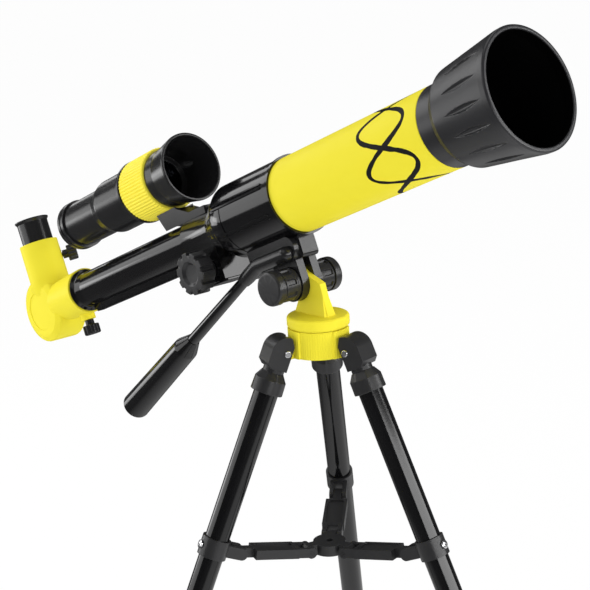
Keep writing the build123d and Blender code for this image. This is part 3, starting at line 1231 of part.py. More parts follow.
keep(diagonal_body, "diagonal_body", TUBE)

# Mirror of the diagonal
with BuildPart() as diagonal_mirror:
    with BuildSketch(MIRROR_FACE) as mirror_face:
        Rectangle(2 * MIRROR_HALF_WIDTH, MIRROR_LENGTH)
    extrude(mirror_face.sketch, amount=-MIRROR_THICKNESS)
keep(diagonal_mirror, "diagonal_mirror", TUBE)

# Eyepiece barrel with flared lip, and its lens
EYEPIECE = TUBE * Location((EYEPIECE_S, 0, 0))
with BuildPart() as eyepiece_barrel:
    bore = EYEPIECE_RADIUS - EYEPIECE_WALL
    lathe(
        (bore, EYEPIECE_BOTTOM_H), (EYEPIECE_RADIUS, EYEPIECE_BOTTOM_H),
        (EYEPIECE_RADIUS, EYEPIECE_TOP_H - EYEPIECE_LIP_HEIGHT),
        (EYEPIECE_LIP_RADIUS, EYEPIECE_TOP_H - EYEPIECE_LIP_HEIGHT / 3),
        (EYEPIECE_LIP_RADIUS, EYEPIECE_TOP_H), (bore + EYEPIECE_WALL, EYEPIECE_TOP_H),
        (bore, EYE_LENS_H + EYE_LENS_EDGE + EYE_LENS_CROWN), (bore, EYE_LENS_H),
        (bore - EYEPIECE_WALL, EYE_LENS_H), (bore - EYEPIECE_WALL, EYE_LENS_H - EYEPIECE_WALL),
        (bore, EYE_LENS_H - 2 * EYEPIECE_WALL),
        axis=Axis.Z,
    )
keep(eyepiece_barrel, "eyepiece_barrel", EYEPIECE)

with BuildPart() as eyepiece_lens:
    lens(
        bore - FIT, EYE_LENS_EDGE, EYE_LENS_CROWN, Axis.Z,
        Plane(origin=(0, 0, EYE_LENS_H), x_dir=(0, 0, 1), z_dir=(0, 1, 0)),
    )
keep(eyepiece_lens, "eyepiece_lens", EYEPIECE)


def thumbscrew(reach, neck_length):
    """A lobed thumbscrew along z: tip at 0, neck from reach, knob beyond the neck."""
    neck_end = reach + neck_length
    lathe(
        (0, 0), (THUMB_SHANK_RADIUS, 0), (THUMB_SHANK_RADIUS, reach), (THUMB_NECK_RADIUS, reach),
        (THUMB_NECK_RADIUS, neck_end), (THUMB_KNOB_RADIUS, neck_end),
        (THUMB_KNOB_RADIUS, neck_end + THUMB_KNOB_LENGTH), (0, neck_end + THUMB_KNOB_LENGTH),
        axis=Axis.Z,
    )
    with BuildSketch(Plane.XY.offset(neck_end)) as lobe_gaps:
        with PolarLocations(THUMB_KNOB_RADIUS + THUMB_LOBE_RADIUS / 3, THUMB_LOBES):
            Circle(THUMB_LOBE_RADIUS)
    extrude(lobe_gaps.sketch, amount=THUMB_KNOB_LENGTH, mode=Mode.SUBTRACT)


# Thumbscrews that hold the draw tube and the eyepiece
with BuildPart() as draw_screw:
    thumbscrew(-DRAW_LUG_H - DRAW_RADIUS, DRAW_SCREW_NECK)
keep(
    draw_screw, "draw_screw",
    TUBE * Plane(
        origin=(DRAW_SCREW_S, 0, -DRAW_RADIUS - GAP), x_dir=(1, 0, 0), z_dir=(0, 0, -1)
    ).location,
)

with BuildPart() as eyepiece_screw:
    thumbscrew(NECK_BASE_RADIUS - EYEPIECE_RADIUS, EYEPIECE_SCREW_NECK)
keep(
    eyepiece_screw, "eyepiece_screw",
    TUBE * EYEPIECE_SCREW_FACE.location,
)

# Finder bell: flared front tube, with a reduced seat for the ribbed band
FINDER = TUBE * Location((0, 0, FINDER_H))
with BuildPart() as finder_bell:
    seat = FINDER_CORE_RADIUS - FINDER_WALL
    baffle_rear = FINDER_BAFFLE_S - FINDER_WALL
    lathe(
        (BELL_RIM_S, BELL_RIM_RADIUS), (BELL_RIM_S - FINDER_WALL, BELL_RIM_RADIUS),
        (BELL_FLARE_S, BELL_TUBE_RADIUS), (FINDER_RING_FRONT_S, BELL_TUBE_RADIUS),
        (FINDER_RING_FRONT_S, FINDER_CORE_RADIUS), (FINDER_RING_REAR_S, FINDER_CORE_RADIUS),
        (FINDER_RING_REAR_S, seat), (baffle_rear, seat), (baffle_rear, FINDER_BAFFLE_RADIUS),
        (FINDER_BAFFLE_S, FINDER_BAFFLE_RADIUS), (FINDER_BAFFLE_S, seat),
        (BELL_FLARE_S, seat), (BELL_RIM_S, BELL_RIM_RADIUS - FINDER_WALL),
    )
keep(finder_bell, "finder_bell", FINDER)

# Ribbed band by which the bracket holds the finder
with BuildPart() as finder_ring:
    front = FINDER_RING_FRONT_S - GAP
    rear = FINDER_RING_REAR_S + GAP
    lathe(
        (front, FINDER_CORE_RADIUS + FIT), (front, FINDER_RING_RADIUS),
        (rear, FINDER_RING_RADIUS), (rear, FINDER_CORE_RADIUS + FIT),
    )
keep(finder_ring, "finder_ring", FINDER)

# Finder body: flange, stepped tube
with BuildPart() as finder_body:
    flange_end = FINDER_RING_REAR_S - FINDER_FLANGE_WIDTH
    tail_bore = FINDER_TAIL_RADIUS - FINDER_WALL
    lathe(
        (FINDER_RING_REAR_S - FIT, tail_bore), (FINDER_RING_REAR_S - FIT, FINDER_FLANGE_RADIUS),
        (flange_end, FINDER_FLANGE_RADIUS), (flange_end, FINDER_BODY_RADIUS),
        (FINDER_STEP_S, FINDER_BODY_RADIUS),
        (FINDER_STEP_S - FINDER_STEP_LENGTH, FINDER_TAIL_RADIUS),
        (FINDER_TAIL_END_S, FINDER_TAIL_RADIUS), (FINDER_TAIL_END_S, tail_bore),
    )
keep(finder_body, "finder_body", FINDER)

# Eyecup at the finder's rear, with a groove round it
with BuildPart() as finder_eyecup:
    front = FINDER_TAIL_END_S - FIT
    middle = (front + EYECUP_END_S) / 2
    lathe(
        (front, EYECUP_BORE_RADIUS), (front, EYECUP_RADIUS),
        (middle + EYECUP_GROOVE, EYECUP_RADIUS), (middle + EYECUP_GROOVE, EYECUP_RADIUS - EYECUP_GROOVE),
        (middle, EYECUP_RADIUS - EYECUP_GROOVE), (middle, EYECUP_RADIUS),
        (EYECUP_END_S + EYECUP_CHAMFER, EYECUP_RADIUS), (EYECUP_END_S, EYECUP_RADIUS - EYECUP_CHAMFER),
        (EYECUP_END_S, EYECUP_BORE_RADIUS),
    )
keep(finder_eyecup, "finder_eyecup", FINDER)

# Finder lenses, the front one behind the bell's baffle
lens_back = baffle_rear - FINDER_LENS_EDGE - FINDER_LENS_CROWN / 2
with BuildPart() as finder_objective:
    lens(seat - FIT, FINDER_LENS_EDGE, FINDER_LENS_CROWN, Axis.X, Plane.XZ)
keep(finder_objective, "finder_objective", FINDER * Location((lens_back, 0, 0)))

with BuildPart() as finder_eye_lens:
    lens(EYECUP_BORE_RADIUS - FIT, FINDER_LENS_EDGE, FINDER_LENS_CROWN, Axis.X, Plane.XZ)
keep(finder_eye_lens, "finder_eye_lens", FINDER * Location((FINDER_EYE_LENS_S, 0, 0)))

# Finder bracket: leaning stem under the band, with a foot on the focuser barrel
with BuildPart() as finder_bracket:
    stem_top = FINDER_H - FINDER_RING_RADIUS / 2
    stem_low = BARREL_RADIUS / 2
    slab(
        (STEM_REAR_S, stem_top), (STEM_FRONT_S, stem_top),
        (STEM_FRONT_S, FINDER_H - FINDER_RING_RADIUS),
        (STEM_FRONT_S + STEM_LEAN, STEM_FOOT_H), (STEM_FOOT_FRONT_S, STEM_FOOT_H),
        (STEM_FOOT_FRONT_S, stem_low), (STEM_REAR_S + STEM_LEAN, stem_low),
        low=-STEM_HALF_WIDTH, high=STEM_HALF_WIDTH,
    )
    lathe(
        (STEM_REAR_S - GAP, 0), (STEM_REAR_S - GAP, BARREL_RADIUS + FIT),
        (STEM_FOOT_FRONT_S + GAP, BARREL_RADIUS + FIT), (STEM_FOOT_FRONT_S + GAP, 0),
        mode=Mode.SUBTRACT,
    )
    finder_axis = Axis((0, 0, FINDER_H), (1, 0, 0))
    lathe(
        (STEM_REAR_S - GAP, FINDER_H), (STEM_REAR_S - GAP, FINDER_H - FINDER_RING_RADIUS - FIT),
        (STEM_FRONT_S + GAP, FINDER_H - FINDER_RING_RADIUS - FIT), (STEM_FRONT_S + GAP, FINDER_H),
        axis=finder_axis, mode=Mode.SUBTRACT,
    )
keep(finder_bracket, "finder_bracket", TUBE)

# Origin on the floor, under the middle of the whole telescope
boxes = [piece.bounding_box() for piece in pieces.values()]
low_x = min(box.min.X for box in boxes)
high_x = max(box.max.X for box in boxes)
low_y = min(box.min.Y for box in boxes)
high_y = max(box.max.Y for box in boxes)
low_z = min(box.min.Z for box in boxes)
SHIFT = Vector(-(low_x + high_x) / 2, -(low_y + high_y) / 2, -low_z)
for name, piece in pieces.items():
    placed = piece.moved(Location(SHIFT))
    placed.label = name
    export_step(placed, f"parts/{name}.step")
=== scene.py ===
import json
import logging
from dataclasses import dataclass
from enum import Enum
from math import cos, pi, radians, sin

import bmesh
import bpy
import numpy as np
from mathutils import Matrix, Vector


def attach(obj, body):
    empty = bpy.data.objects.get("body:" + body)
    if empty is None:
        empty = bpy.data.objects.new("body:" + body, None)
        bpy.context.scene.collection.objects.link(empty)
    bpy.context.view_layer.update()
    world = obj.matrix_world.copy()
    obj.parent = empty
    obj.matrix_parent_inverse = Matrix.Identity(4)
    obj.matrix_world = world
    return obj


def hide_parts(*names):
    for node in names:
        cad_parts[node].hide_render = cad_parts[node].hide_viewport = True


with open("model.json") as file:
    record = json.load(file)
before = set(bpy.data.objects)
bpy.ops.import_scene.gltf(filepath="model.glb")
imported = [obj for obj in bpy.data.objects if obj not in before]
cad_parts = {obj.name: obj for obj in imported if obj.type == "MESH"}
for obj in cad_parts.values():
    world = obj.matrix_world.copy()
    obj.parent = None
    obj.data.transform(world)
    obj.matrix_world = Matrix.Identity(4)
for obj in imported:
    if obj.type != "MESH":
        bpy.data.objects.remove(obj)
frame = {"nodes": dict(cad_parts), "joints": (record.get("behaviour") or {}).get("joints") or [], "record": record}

# Dresses a small refractor telescope on a folding table tripod.
# Sizes are millimetres in the tripod's own frame: its axis is x = y = 0, its floor z = 0.
# +X is the way the telescope looks, +Y its left side. Meshes are written in metres.
log = logging.getLogger("telescope")

MM = 0.001
MERGE = 1e-7            # metres, under which two points are one
ARC_STEPS = 6           # points on each rounded corner
EDGE_SHARE = 0.48       # share of a short edge that a rounded corner may take
FLAT_ANGLE = 0.5        # degrees within which a solid's triangles are one flat face
BEVEL_ANGLE = 32.0      # degrees past which an edge is rounded
BEVEL_SEGMENTS = 3
SHARP_ANGLE = 42.0      # degrees past which an unrounded edge is shaded hard
SLACK = 0.01            # millimetres, when a length is tested against another
WHITE = (1.0, 1.0, 1.0, 1.0)
IMAGE_WIDTH = 590       # pixels
SENSOR_WIDTH = 36.0     # millimetres

# Clearances shared with the solids
FIT = 0.05
SLIP = 0.15
GAP = 0.3

PAN_JOINT = {joint["name"]: joint for joint in frame["joints"]}["pan_turn"]
AXIS_SHIFT = np.array([PAN_JOINT["pos_m"][0], PAN_JOINT["pos_m"][1], 0.0])

Triple = tuple[float, float, float]
Outline = list[tuple[float, float]]


class Slot(Enum):
    """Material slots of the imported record."""

    YELLOW = "yellow_plastic"
    GLOSS_BLACK = "gloss_black_plastic"
    SATIN_BLACK = "satin_black_plastic"
    BLACK_TUBE = "black_tube"
    RUBBER = "black_rubber"
    STEEL = "bright_steel"
    BRASS = "brass"
    GLASS = "coated_glass"
    MIRROR = "mirror_glass"


class Side(Enum):
    """The two sides of the telescope, as the sign of y."""

    RIGHT = -1
    LEFT = 1


@dataclass(frozen=True)
class Place:
    """A right-handed frame, given by its origin and its x and z directions."""

    origin: Triple
    x_dir: Triple
    z_dir: Triple

    def axes(self) -> np.ndarray:
        """The unit axes as rows: x made square to z, and y = z cross x."""
        z_axis = np.array(self.z_dir) / np.linalg.norm(self.z_dir)
        x_axis = np.array(self.x_dir) - z_axis * np.dot(self.x_dir, z_axis)
        x_axis = x_axis / np.linalg.norm(x_axis)
        return np.array([x_axis, np.cross(z_axis, x_axis), z_axis])

    def put(self, points: np.ndarray) -> np.ndarray:
        """Carry points of this frame into the row frame.

        Args:
            points: Any array of points in millimetres, x y z last.

        Returns:
            The same array of points in metres: origin + x X + y Y + z Z, shifted to the axis.
        """
        return (np.array(self.origin) + points @ self.axes()) * MM + AXIS_SHIFT

    def inner(self, origin: Triple, x_dir: Triple, z_dir: Triple) -> "Place":
        """A frame given by its origin and directions in this one."""
        axes = self.axes()
        return Place(
            tuple(np.array(self.origin) + np.array(origin) @ axes),
            tuple(np.array(x_dir) @ axes),
            tuple(np.array(z_dir) @ axes),
        )


ELEVATION = radians(21.86)
TUBE_RISE = 395.443     # height of the tube frame's origin, in the plane of the tripod axis
TUBE_SET = -0.0195
TUBE = Place(
    (TUBE_SET, 0.0, TUBE_RISE),
    (cos(ELEVATION), 0.0, sin(ELEVATION)),
    (-sin(ELEVATION), 0.0, cos(ELEVATION)),
)
OPTIC_AXIS = TUBE.inner((0, 0, 0), (0, 0, 1), (1, 0, 0))


def smoothstep(low: float, high: float, value: np.ndarray) -> np.ndarray:
    """Ease from 0 at low to 1 at high: 3 t squared - 2 t cubed of the clipped share t."""
    share = np.clip((value - low) / (high - low), 0.0, 1.0)
    return share * share * (3.0 - 2.0 * share)


def rounded(corners: Outline, radius: float | list[float]) -> np.ndarray:
    """Round the corners of a closed outline.

    Each corner is swapped for an arc that touches both its edges. With half the corner's angle
    called w, the arc starts radius / tan w from the corner, and its points are the two end spokes
    mixed by sine weights, so they keep the radius. The radius is cut back on short edges.

    Args:
        corners: The outline's corners in order.
        radius: One radius for all corners, or one for each.

    Returns:
        The outline's points, corner by corner, as many on each as ARC_STEPS.
    """
    here = np.array(corners, float)
    wanted = np.broadcast_to(np.array(radius, float), (len(here),))
    to_last = np.roll(here, 1, axis=0) - here
    to_next = np.roll(here, -1, axis=0) - here
    last_length = np.linalg.norm(to_last, axis=1)
    next_length = np.linalg.norm(to_next, axis=1)
    to_last = to_last / last_length[:, None]
    to_next = to_next / next_length[:, None]
    half = np.arccos(np.clip((to_last * to_next).sum(axis=1), -1.0, 1.0)) / 2
    sharpest, straightest = 0.01, pi / 2 - 1e-4
    half = np.clip(half, sharpest, straightest)
    setback = np.minimum(wanted / np.tan(half), EDGE_SHARE * np.minimum(last_length, next_length))
    true_radius = setback * np.tan(half)
    inward = to_last + to_next
    inward = inward / np.maximum(np.linalg.norm(inward, axis=1), 1e-9)[:, None]
    centre = here + inward * (true_radius / np.sin(half))[:, None]
    first = here + to_last * setback[:, None] - centre
    final = here + to_next * setback[:, None] - centre
    sweep = (pi - 2 * half)[:, None, None]
    share = np.linspace(0.0, 1.0, ARC_STEPS)[None, :, None]
    spokes = np.sin((1 - share) * sweep) * first[:, None] + np.sin(share * sweep) * final[:, None]
    return (centre[:, None] + spokes / np.sin(sweep)).reshape(-1, 2)


def turned(profile: np.ndarray, angles: np.ndarray, relief: np.ndarray | float = 0.0) -> np.ndarray:
    """A turned form about z: (r cos a, r sin a, z) with r the profile's radius plus the relief.

    Args:
        profile: Points (z, radius) of a closed outline.
        angles: Turn of each column, in radians.
        relief: Height added to the radius, for each row and column.

    Returns:
        The grid of points, rows along the profile and columns round the axis.
    """
    radius = profile[:, 1:2] + np.zeros((1, len(angles))) + relief
    height = np.broadcast_to(profile[:, 0:1], radius.shape)
    return np.stack([radius * np.cos(angles), radius * np.sin(angles), height], axis=-1)


def ring(count: int) -> np.ndarray:
    """Evenly spaced turns round a circle, the last one short of the first."""
    return np.arange(count) * (2 * pi / count)


def repeats(count: int, columns: int, spacing: float) -> tuple[np.ndarray, np.ndarray]:
    """Turns of the columns round a form with even repeats, closer at the middle of each repeat.

    A share t of a repeat, from -0.5 to 0.5, goes to t (spacing + 4 (1 - spacing) t squared), so the
    repeat's ends stay where they are and a spacing of 1 leaves its columns even.

    Args:
        count: Repeats round the form.
        columns: Columns in each repeat.
        spacing: Spacing at a repeat's middle, as a share of the even one.

    Returns:
        The turn of each column, and its turn from the middle of its own repeat.
    """
    share = np.linspace(-0.5, 0.5, columns, endpoint=False)
    pitch = 2 * pi / count
    offset = share * (spacing + 4 * (1 - spacing) * share**2) * pitch
    angles = (np.arange(count)[:, None] * pitch + offset).ravel()
    return angles, np.tile(offset, count)


def carried(path: np.ndarray, radius: np.ndarray, sideways: np.ndarray, columns: int) -> np.ndarray:
    """A round section carried along a path that lies in one plane.

    Args:
        path: The path's points.
        radius: The section's radius at each of them.
        sideways: Unit normal of the path's plane.
        columns: Points round the section.

    Returns:
        Grid path + radius (cos a * sideways + sin a * across), across square to path and sideways.
    """
    ahead = np.gradient(path, axis=0)
    ahead = ahead / np.linalg.norm(ahead, axis=1)[:, None]
    across = np.cross(ahead, sideways)
    turn = ring(columns)[None, :, None]
    spoke = np.cos(turn) * sideways + np.sin(turn) * across[:, None]
    return path[:, None] + radius[:, None, None] * spoke


def wrapped_faces(rows: int, columns: int, close_rows: bool) -> np.ndarray:
    """Four-cornered faces of a grid that closes round its columns, and round its rows if asked."""
    row = np.arange(rows if close_rows else rows - 1)[:, None]
    column = np.arange(columns)[None, :]
    after_row = (row + 1) % rows
    after_column = (column + 1) % columns
    corners = [
        row * columns + column,
        row * columns + after_column,
        after_row * columns + after_column,
        after_row * columns + column,
    ]
    return np.stack(corners, axis=-1).reshape(-1, 4)


def grid_mesh(name: str, grid: np.ndarray, close_rows: bool = True) -> bpy.types.Mesh:
    """Make a mesh of a grid that closes round its columns, with its doubles merged.

    Args:
        name: The mesh's name.
        grid: Points in metres, rows by columns.
        close_rows: Whether the last row joins the first. Open rows end in flat caps.

    Returns:
        The closed mesh, faces outwards.
    """
    rows, columns = grid.shape[:2]
    faces = wrapped_faces(rows, columns, close_rows).tolist()
    if not close_rows:
        faces.append(list(range(columns)))
        faces.append(list(range((rows - 1) * columns, rows * columns)))
    mesh = bpy.data.meshes.new(name)
    mesh.from_pydata(grid.reshape(-1, 3).tolist(), [], faces)
    work = bmesh.new()
    work.from_mesh(mesh)
    bmesh.ops.remove_doubles(work, verts=work.verts, dist=MERGE)
    bmesh.ops.dissolve_degenerate(work, dist=MERGE, edges=work.edges)
    bmesh.ops.recalc_face_normals(work, faces=work.faces)
    work.to_mesh(mesh)
    work.free()
    return mesh


def merged_copy(name: str, node: str) -> bpy.types.Mesh:
    """A copy of a solid's mesh with its triangles joined into whole flat faces.

    Args:
        name: The copy's name.
        node: The solid's node.

    Returns:
        The merged mesh, whose hard edges a bevel can then round.
    """
    mesh = frame["nodes"][node].data.copy()
    mesh.name = name
    work = bmesh.new()
    work.from_mesh(mesh)
    bmesh.ops.remove_doubles(work, verts=work.verts, dist=10 * MERGE)
    bmesh.ops.dissolve_limit(
        work, angle_limit=radians(FLAT_ANGLE), verts=work.verts, edges=work.edges,
        use_dissolve_boundaries=False,
    )
    work.to_mesh(mesh)
    work.free()
    mesh.materials.clear()
    return mesh


class NodeBench:
    """Adds nodes and links to one node tree."""

    def __init__(self, tree: bpy.types.NodeTree) -> None:
        """Keep the tree that the nodes go into."""
        self.tree = tree

    def add(self, kind: str, **inputs: object) -> bpy.types.Node:
        """Add a node and set or link its inputs.

        Args:
            kind: Blender's node type.
            inputs: Socket values by name, with _ for a space, or a socket to link from.

        Returns:
            The new node.
        """
        node = self.tree.nodes.new(kind)
        for name, value in inputs.items():
            self.feed(node.inputs[name.replace("_", " ")], value)
        return node

    def feed(self, socket: bpy.types.NodeSocket, value: object) -> None:
        """Link a socket into another, or set its value."""
        if isinstance(value, bpy.types.NodeSocket):
            self.tree.links.new(value, socket)
        else:
            socket.default_value = value

    def math(self, operation: str, *values: object) -> bpy.types.NodeSocket:
        """A Math node's result for up to three numbers or sockets."""
        node = self.tree.nodes.new("ShaderNodeMath")
        node.operation = operation
        for socket, value in zip(node.inputs, values):
            self.feed(socket, value)
        return node.outputs[0]

    def blend(self, share: object, low: object, high: object) -> bpy.types.NodeSocket:
        """A colour that goes from low to high with the share."""
        node = self.tree.nodes.new("ShaderNodeMix")
        node.data_type = "RGBA"
        self.feed(node.inputs[0], share)
        self.feed(node.inputs[6], low)
        self.feed(node.inputs[7], high)
        return node.outputs[2]

    def group(self, tree: bpy.types.NodeTree) -> bpy.types.Node:
        """A node that stands for a shared group."""
        node = self.tree.nodes.new("ShaderNodeGroup")
        node.node_tree = tree
        return node

    def own_axes(self, origin: np.ndarray, rotation: Triple) -> list[bpy.types.NodeSocket]:
        """Object coordinates as x, y and z of a frame with its own origin and rotation."""
        place = self.add("ShaderNodeTexCoord").outputs["Object"]
        mapping = self.add("ShaderNodeMapping", Vector=place, Location=tuple(origin), Rotation=rotation)
        mapping.vector_type = "TEXTURE"
        return list(self.add("ShaderNodeSeparateXYZ", Vector=mapping.outputs["Vector"]).outputs)


def new_group(name: str, inputs: dict[str, float], outputs: list[str]) -> bpy.types.NodeTree:
    """An empty shader node group with float sockets.

    Args:
        name: The group's name.
        inputs: Input names and their defaults.
        outputs: Output names.

    Returns:
        The group.
    """
    group = bpy.data.node_groups.new(name, "ShaderNodeTree")
    for socket_name, default in inputs.items():
        socket = group.interface.new_socket(socket_name, in_out="INPUT", socket_type="NodeSocketFloat")
        socket.default_value = default
    for socket_name in outputs:
        group.interface.new_socket(socket_name, in_out="OUTPUT", socket_type="NodeSocketFloat")
    return group


def moulded_skin() -> bpy.types.NodeTree:
    """Group: fine moulded grain as Height, and slow cloudiness of the gloss as Cloud, 0 to 1."""
    group = new_group("moulded_skin", {"Grain": 900.0, "Cloudiness": 35.0}, ["Height", "Cloud"])
    bench = NodeBench(group)
    inlet = bench.add("NodeGroupInput")
    where = bench.add("ShaderNodeTexCoord").outputs["Object"]
    grain = bench.add("ShaderNodeTexNoise", Vector=where, Scale=inlet.outputs["Grain"], Detail=3.0)
    cloud = bench.add(
        "ShaderNodeTexNoise", Vector=where, Scale=inlet.outputs["Cloudiness"], Detail=4.0, Roughness=0.6
    )
    spread = bench.add("ShaderNodeMapRange", Value=cloud.outputs["Fac"], From_Min=0.3, From_Max=0.7)
    outlet = bench.add("NodeGroupOutput")
    bench.feed(outlet.inputs["Height"], grain.outputs["Fac"])
    bench.feed(outlet.inputs["Cloud"], spread.outputs["Result"])
    return group


def tube_lines() -> bpy.types.NodeTree:
    """Group: printed braid round the main tube as Ink, 1 on the lines.

    Two waves s = middle + swing cos(n a) and s = middle - swing cos(n a) cross round the tube,
    where a is the turn about its axis. A point's distance to a wave is the difference along s over
    the root of one plus the wave's slope squared, and it is ink where that is under the line's
    half width, which a slow noise makes uneven. Lengths are metres.
    """
    group = new_group(
        "tube_lines",
        {"Middle": 0.082, "Swing": 0.017, "Waves": 3.0, "Radius": 0.0217, "Line": 0.0013},
        ["Ink"],
    )
    bench = NodeBench(group)
    inlet = bench.add("NodeGroupInput")
    along, left, up = bench.own_axes(OPTIC_AXIS.put(np.zeros(3)), (0.0, -ELEVATION, 0.0))
    where = bench.add("ShaderNodeTexCoord").outputs["Object"]
    wobble = bench.add("ShaderNodeTexNoise", Vector=where, Scale=110.0, Detail=2.0)
    thinnest, thickening = 0.4, 1.2
    unevenness = bench.math("MULTIPLY_ADD", wobble.outputs["Fac"], thickening, thinnest)
    half_line = bench.math("MULTIPLY", inlet.outputs["Line"], unevenness)
    turn = bench.math("MULTIPLY", bench.math("ARCTAN2", left, up), inlet.outputs["Waves"])
    steep = bench.math("DIVIDE", inlet.outputs["Waves"], inlet.outputs["Radius"])
    steepest = bench.math("MULTIPLY", steep, inlet.outputs["Swing"])
    slope = bench.math("MULTIPLY", bench.math("SINE", turn), steepest)
    lengthen = bench.math("SQRT", bench.math("MULTIPLY_ADD", slope, slope, 1.0))
    wave = bench.math("MULTIPLY", bench.math("COSINE", turn), inlet.outputs["Swing"])
    offset = bench.math("SUBTRACT", along, inlet.outputs["Middle"])
    first = bench.math("ABSOLUTE", bench.math("SUBTRACT", offset, wave))
    second = bench.math("ABSOLUTE", bench.math("ADD", offset, wave))
    nearest = bench.math("DIVIDE", bench.math("MINIMUM", first, second), lengthen)
    ink = bench.math("LESS_THAN", nearest, half_line)
    outlet = bench.add("NodeGroupOutput")
    bench.feed(outlet.inputs["Ink"], ink)
    return group


def upright_lines() -> bpy.types.NodeTree:
    """Group: fine upright flutes round the tripod axis as Height, half of one plus cos(n a)."""
    group = new_group("upright_lines", {"Count": 72.0}, ["Height"])
    bench = NodeBench(group)
    inlet = bench.add("NodeGroupInput")
    ahead, left = bench.own_axes(AXIS_SHIFT, (0.0, 0.0, 0.0))[:2]
    turn = bench.math("ARCTAN2", left, ahead)
    wave = bench.math("COSINE", bench.math("MULTIPLY", turn, inlet.outputs["Count"]))
    outlet = bench.add("NodeGroupOutput")
    bench.feed(outlet.inputs["Height"], bench.math("MULTIPLY_ADD", wave, 0.5, 0.5))
    return group


class Groups:
    """The shared shader node groups, each built once."""

    skin = moulded_skin()
    lines = tube_lines()
    flutes = upright_lines()


class Relief(Enum):
    """What a finish carries beside its moulded grain."""

    NONE = "none"
    PRINT = "print"
    FLUTES = "flutes"


@dataclass(frozen=True)
class Finish:
    """One surface finish: colour, gloss, grain and what lies over them.

    Its name is its material's, so it differs from every slot of the record. The reach of grain and
    flutes is in metres.
    """

    name: str
    slot: Slot
    colour: Triple
    shade: Triple
    gloss: tuple[float, float]
    grain: float = 900.0
    grain_height: float = 0.02
    grain_reach: float = 0.001
    metallic: float = 0.0
    transmission: float = 0.0
    specular: float = 0.5
    relief: Relief = Relief.NONE
    ink: Triple = (0.012, 0.012, 0.013)
    flute_strength: float = 0.35
    flute_reach: float = 0.0003

    def material(self) -> bpy.types.Material:
        """The finish as a material, made on first use.

        Returns:
            A material whose colour, roughness and bump vary by the moulded skin group.
        """
        made = bpy.data.materials.get(self.name)
        if made:
            return made
        made = bpy.data.materials.new(self.name)
        made.use_nodes = True
        bench = NodeBench(made.node_tree)
        shader = made.node_tree.nodes["Principled BSDF"]
        skin = bench.group(Groups.skin)
        skin.inputs["Grain"].default_value = self.grain
        cloud = skin.outputs["Cloud"]
        colour = bench.blend(cloud, (*self.colour, 1.0), (*self.shade, 1.0))
        if self.relief is Relief.PRINT:
            lines = bench.group(Groups.lines)
            colour = bench.blend(lines.outputs["Ink"], colour, (*self.ink, 1.0))
        roughness = bench.add(
            "ShaderNodeMapRange", Value=cloud, To_Min=self.gloss[0], To_Max=self.gloss[1]
        )
        bump = bench.add(
            "ShaderNodeBump", Height=skin.outputs["Height"], Strength=self.grain_height,
            Distance=self.grain_reach,
        )
        normal = bump.outputs["Normal"]
        if self.relief is Relief.FLUTES:
            flutes = bench.group(Groups.flutes)
            ridge = bench.add(
                "ShaderNodeBump", Height=flutes.outputs["Height"], Strength=self.flute_strength,
                Distance=self.flute_reach, Normal=normal,
            )
            normal = ridge.outputs["Normal"]
        bench.feed(shader.inputs["Base Color"], colour)
        bench.feed(shader.inputs["Roughness"], roughness.outputs["Result"])
        bench.feed(shader.inputs["Normal"], normal)
        shader.inputs["Metallic"].default_value = self.metallic
        shader.inputs["Transmission Weight"].default_value = self.transmission
        shader.inputs["Specular IOR Level"].default_value = self.specular
        return made


DEEP_BLACK = (0.0030, 0.0030, 0.0035)
DEEP_BLACK_SHADE = (0.0042, 0.0042, 0.0047)

YELLOW = Finish(
    "moulded_yellow", Slot.YELLOW, (0.835, 0.735, 0.044), (0.820, 0.715, 0.040), (0.38, 0.46),
    specular=0.05,
)
PRINTED_YELLOW = Finish(
    "printed_yellow", Slot.YELLOW, (0.835, 0.735, 0.042), (0.820, 0.715, 0.038), (0.38, 0.46),
    specular=0.05, relief=Relief.PRINT,
)
FLUTED_YELLOW = Finish(
    "fluted_yellow", Slot.YELLOW, (0.835, 0.735, 0.042), (0.820, 0.715, 0.038), (0.40, 0.48),
    specular=0.05, relief=Relief.FLUTES,
)
RIBBED_YELLOW = Finish(
    "ribbed_yellow", Slot.YELLOW, (0.930, 0.810, 0.065), (0.910, 0.790, 0.060), (0.36, 0.44),
    specular=0.15,
)
GLOSS_BLACK = Finish(
    "gloss_black", Slot.GLOSS_BLACK, DEEP_BLACK, DEEP_BLACK_SHADE, (0.09, 0.14), grain_height=0.004,
)
MOULDED_BLACK = Finish(
    "moulded_black_plastic", Slot.GLOSS_BLACK, (0.0180, 0.0180, 0.0190), (0.0210, 0.0210, 0.0222),
    (0.28, 0.36), grain_height=0.03,
)
SATIN_BLACK = Finish(
    "satin_black", Slot.SATIN_BLACK, (0.0105, 0.0105, 0.0112), (0.0125, 0.0125, 0.0133), (0.18, 0.24),
    grain=1400.0, grain_height=0.01,
)
HOOD_BLACK = Finish(
    "hood_black_plastic", Slot.SATIN_BLACK, (0.0170, 0.0170, 0.0192), (0.0190, 0.0190, 0.0212),
    (0.30, 0.36), grain=700.0, grain_height=0.004,
)
# Painted shade: a near-black, barely reflecting finish for a thin sheet over the inside of the hood's mouth. It is
# darker than the hood itself and stands in for the shade in that hollow.
HOOD_SHADE_SHEET = Finish(
    "hood_lining", Slot.SATIN_BLACK, (0.0008, 0.0008, 0.0009), (0.0010, 0.0010, 0.0011), (0.50, 0.60),
    specular=0.06,
)
TUBE_BLACK = Finish(
    "black_tube_lacquer", Slot.BLACK_TUBE, DEEP_BLACK, DEEP_BLACK_SHADE, (0.09, 0.14),
    grain=600.0, grain_height=0.008,
)
GRIP_BLACK = Finish(
    "gloss_grip", Slot.SATIN_BLACK, DEEP_BLACK, DEEP_BLACK_SHADE, (0.10, 0.16), grain_height=0.004,
)
PIN_BLACK = Finish(
    "blacked_pin", Slot.STEEL, (0.012, 0.012, 0.013), (0.016, 0.016, 0.017), (0.30, 0.40),
)
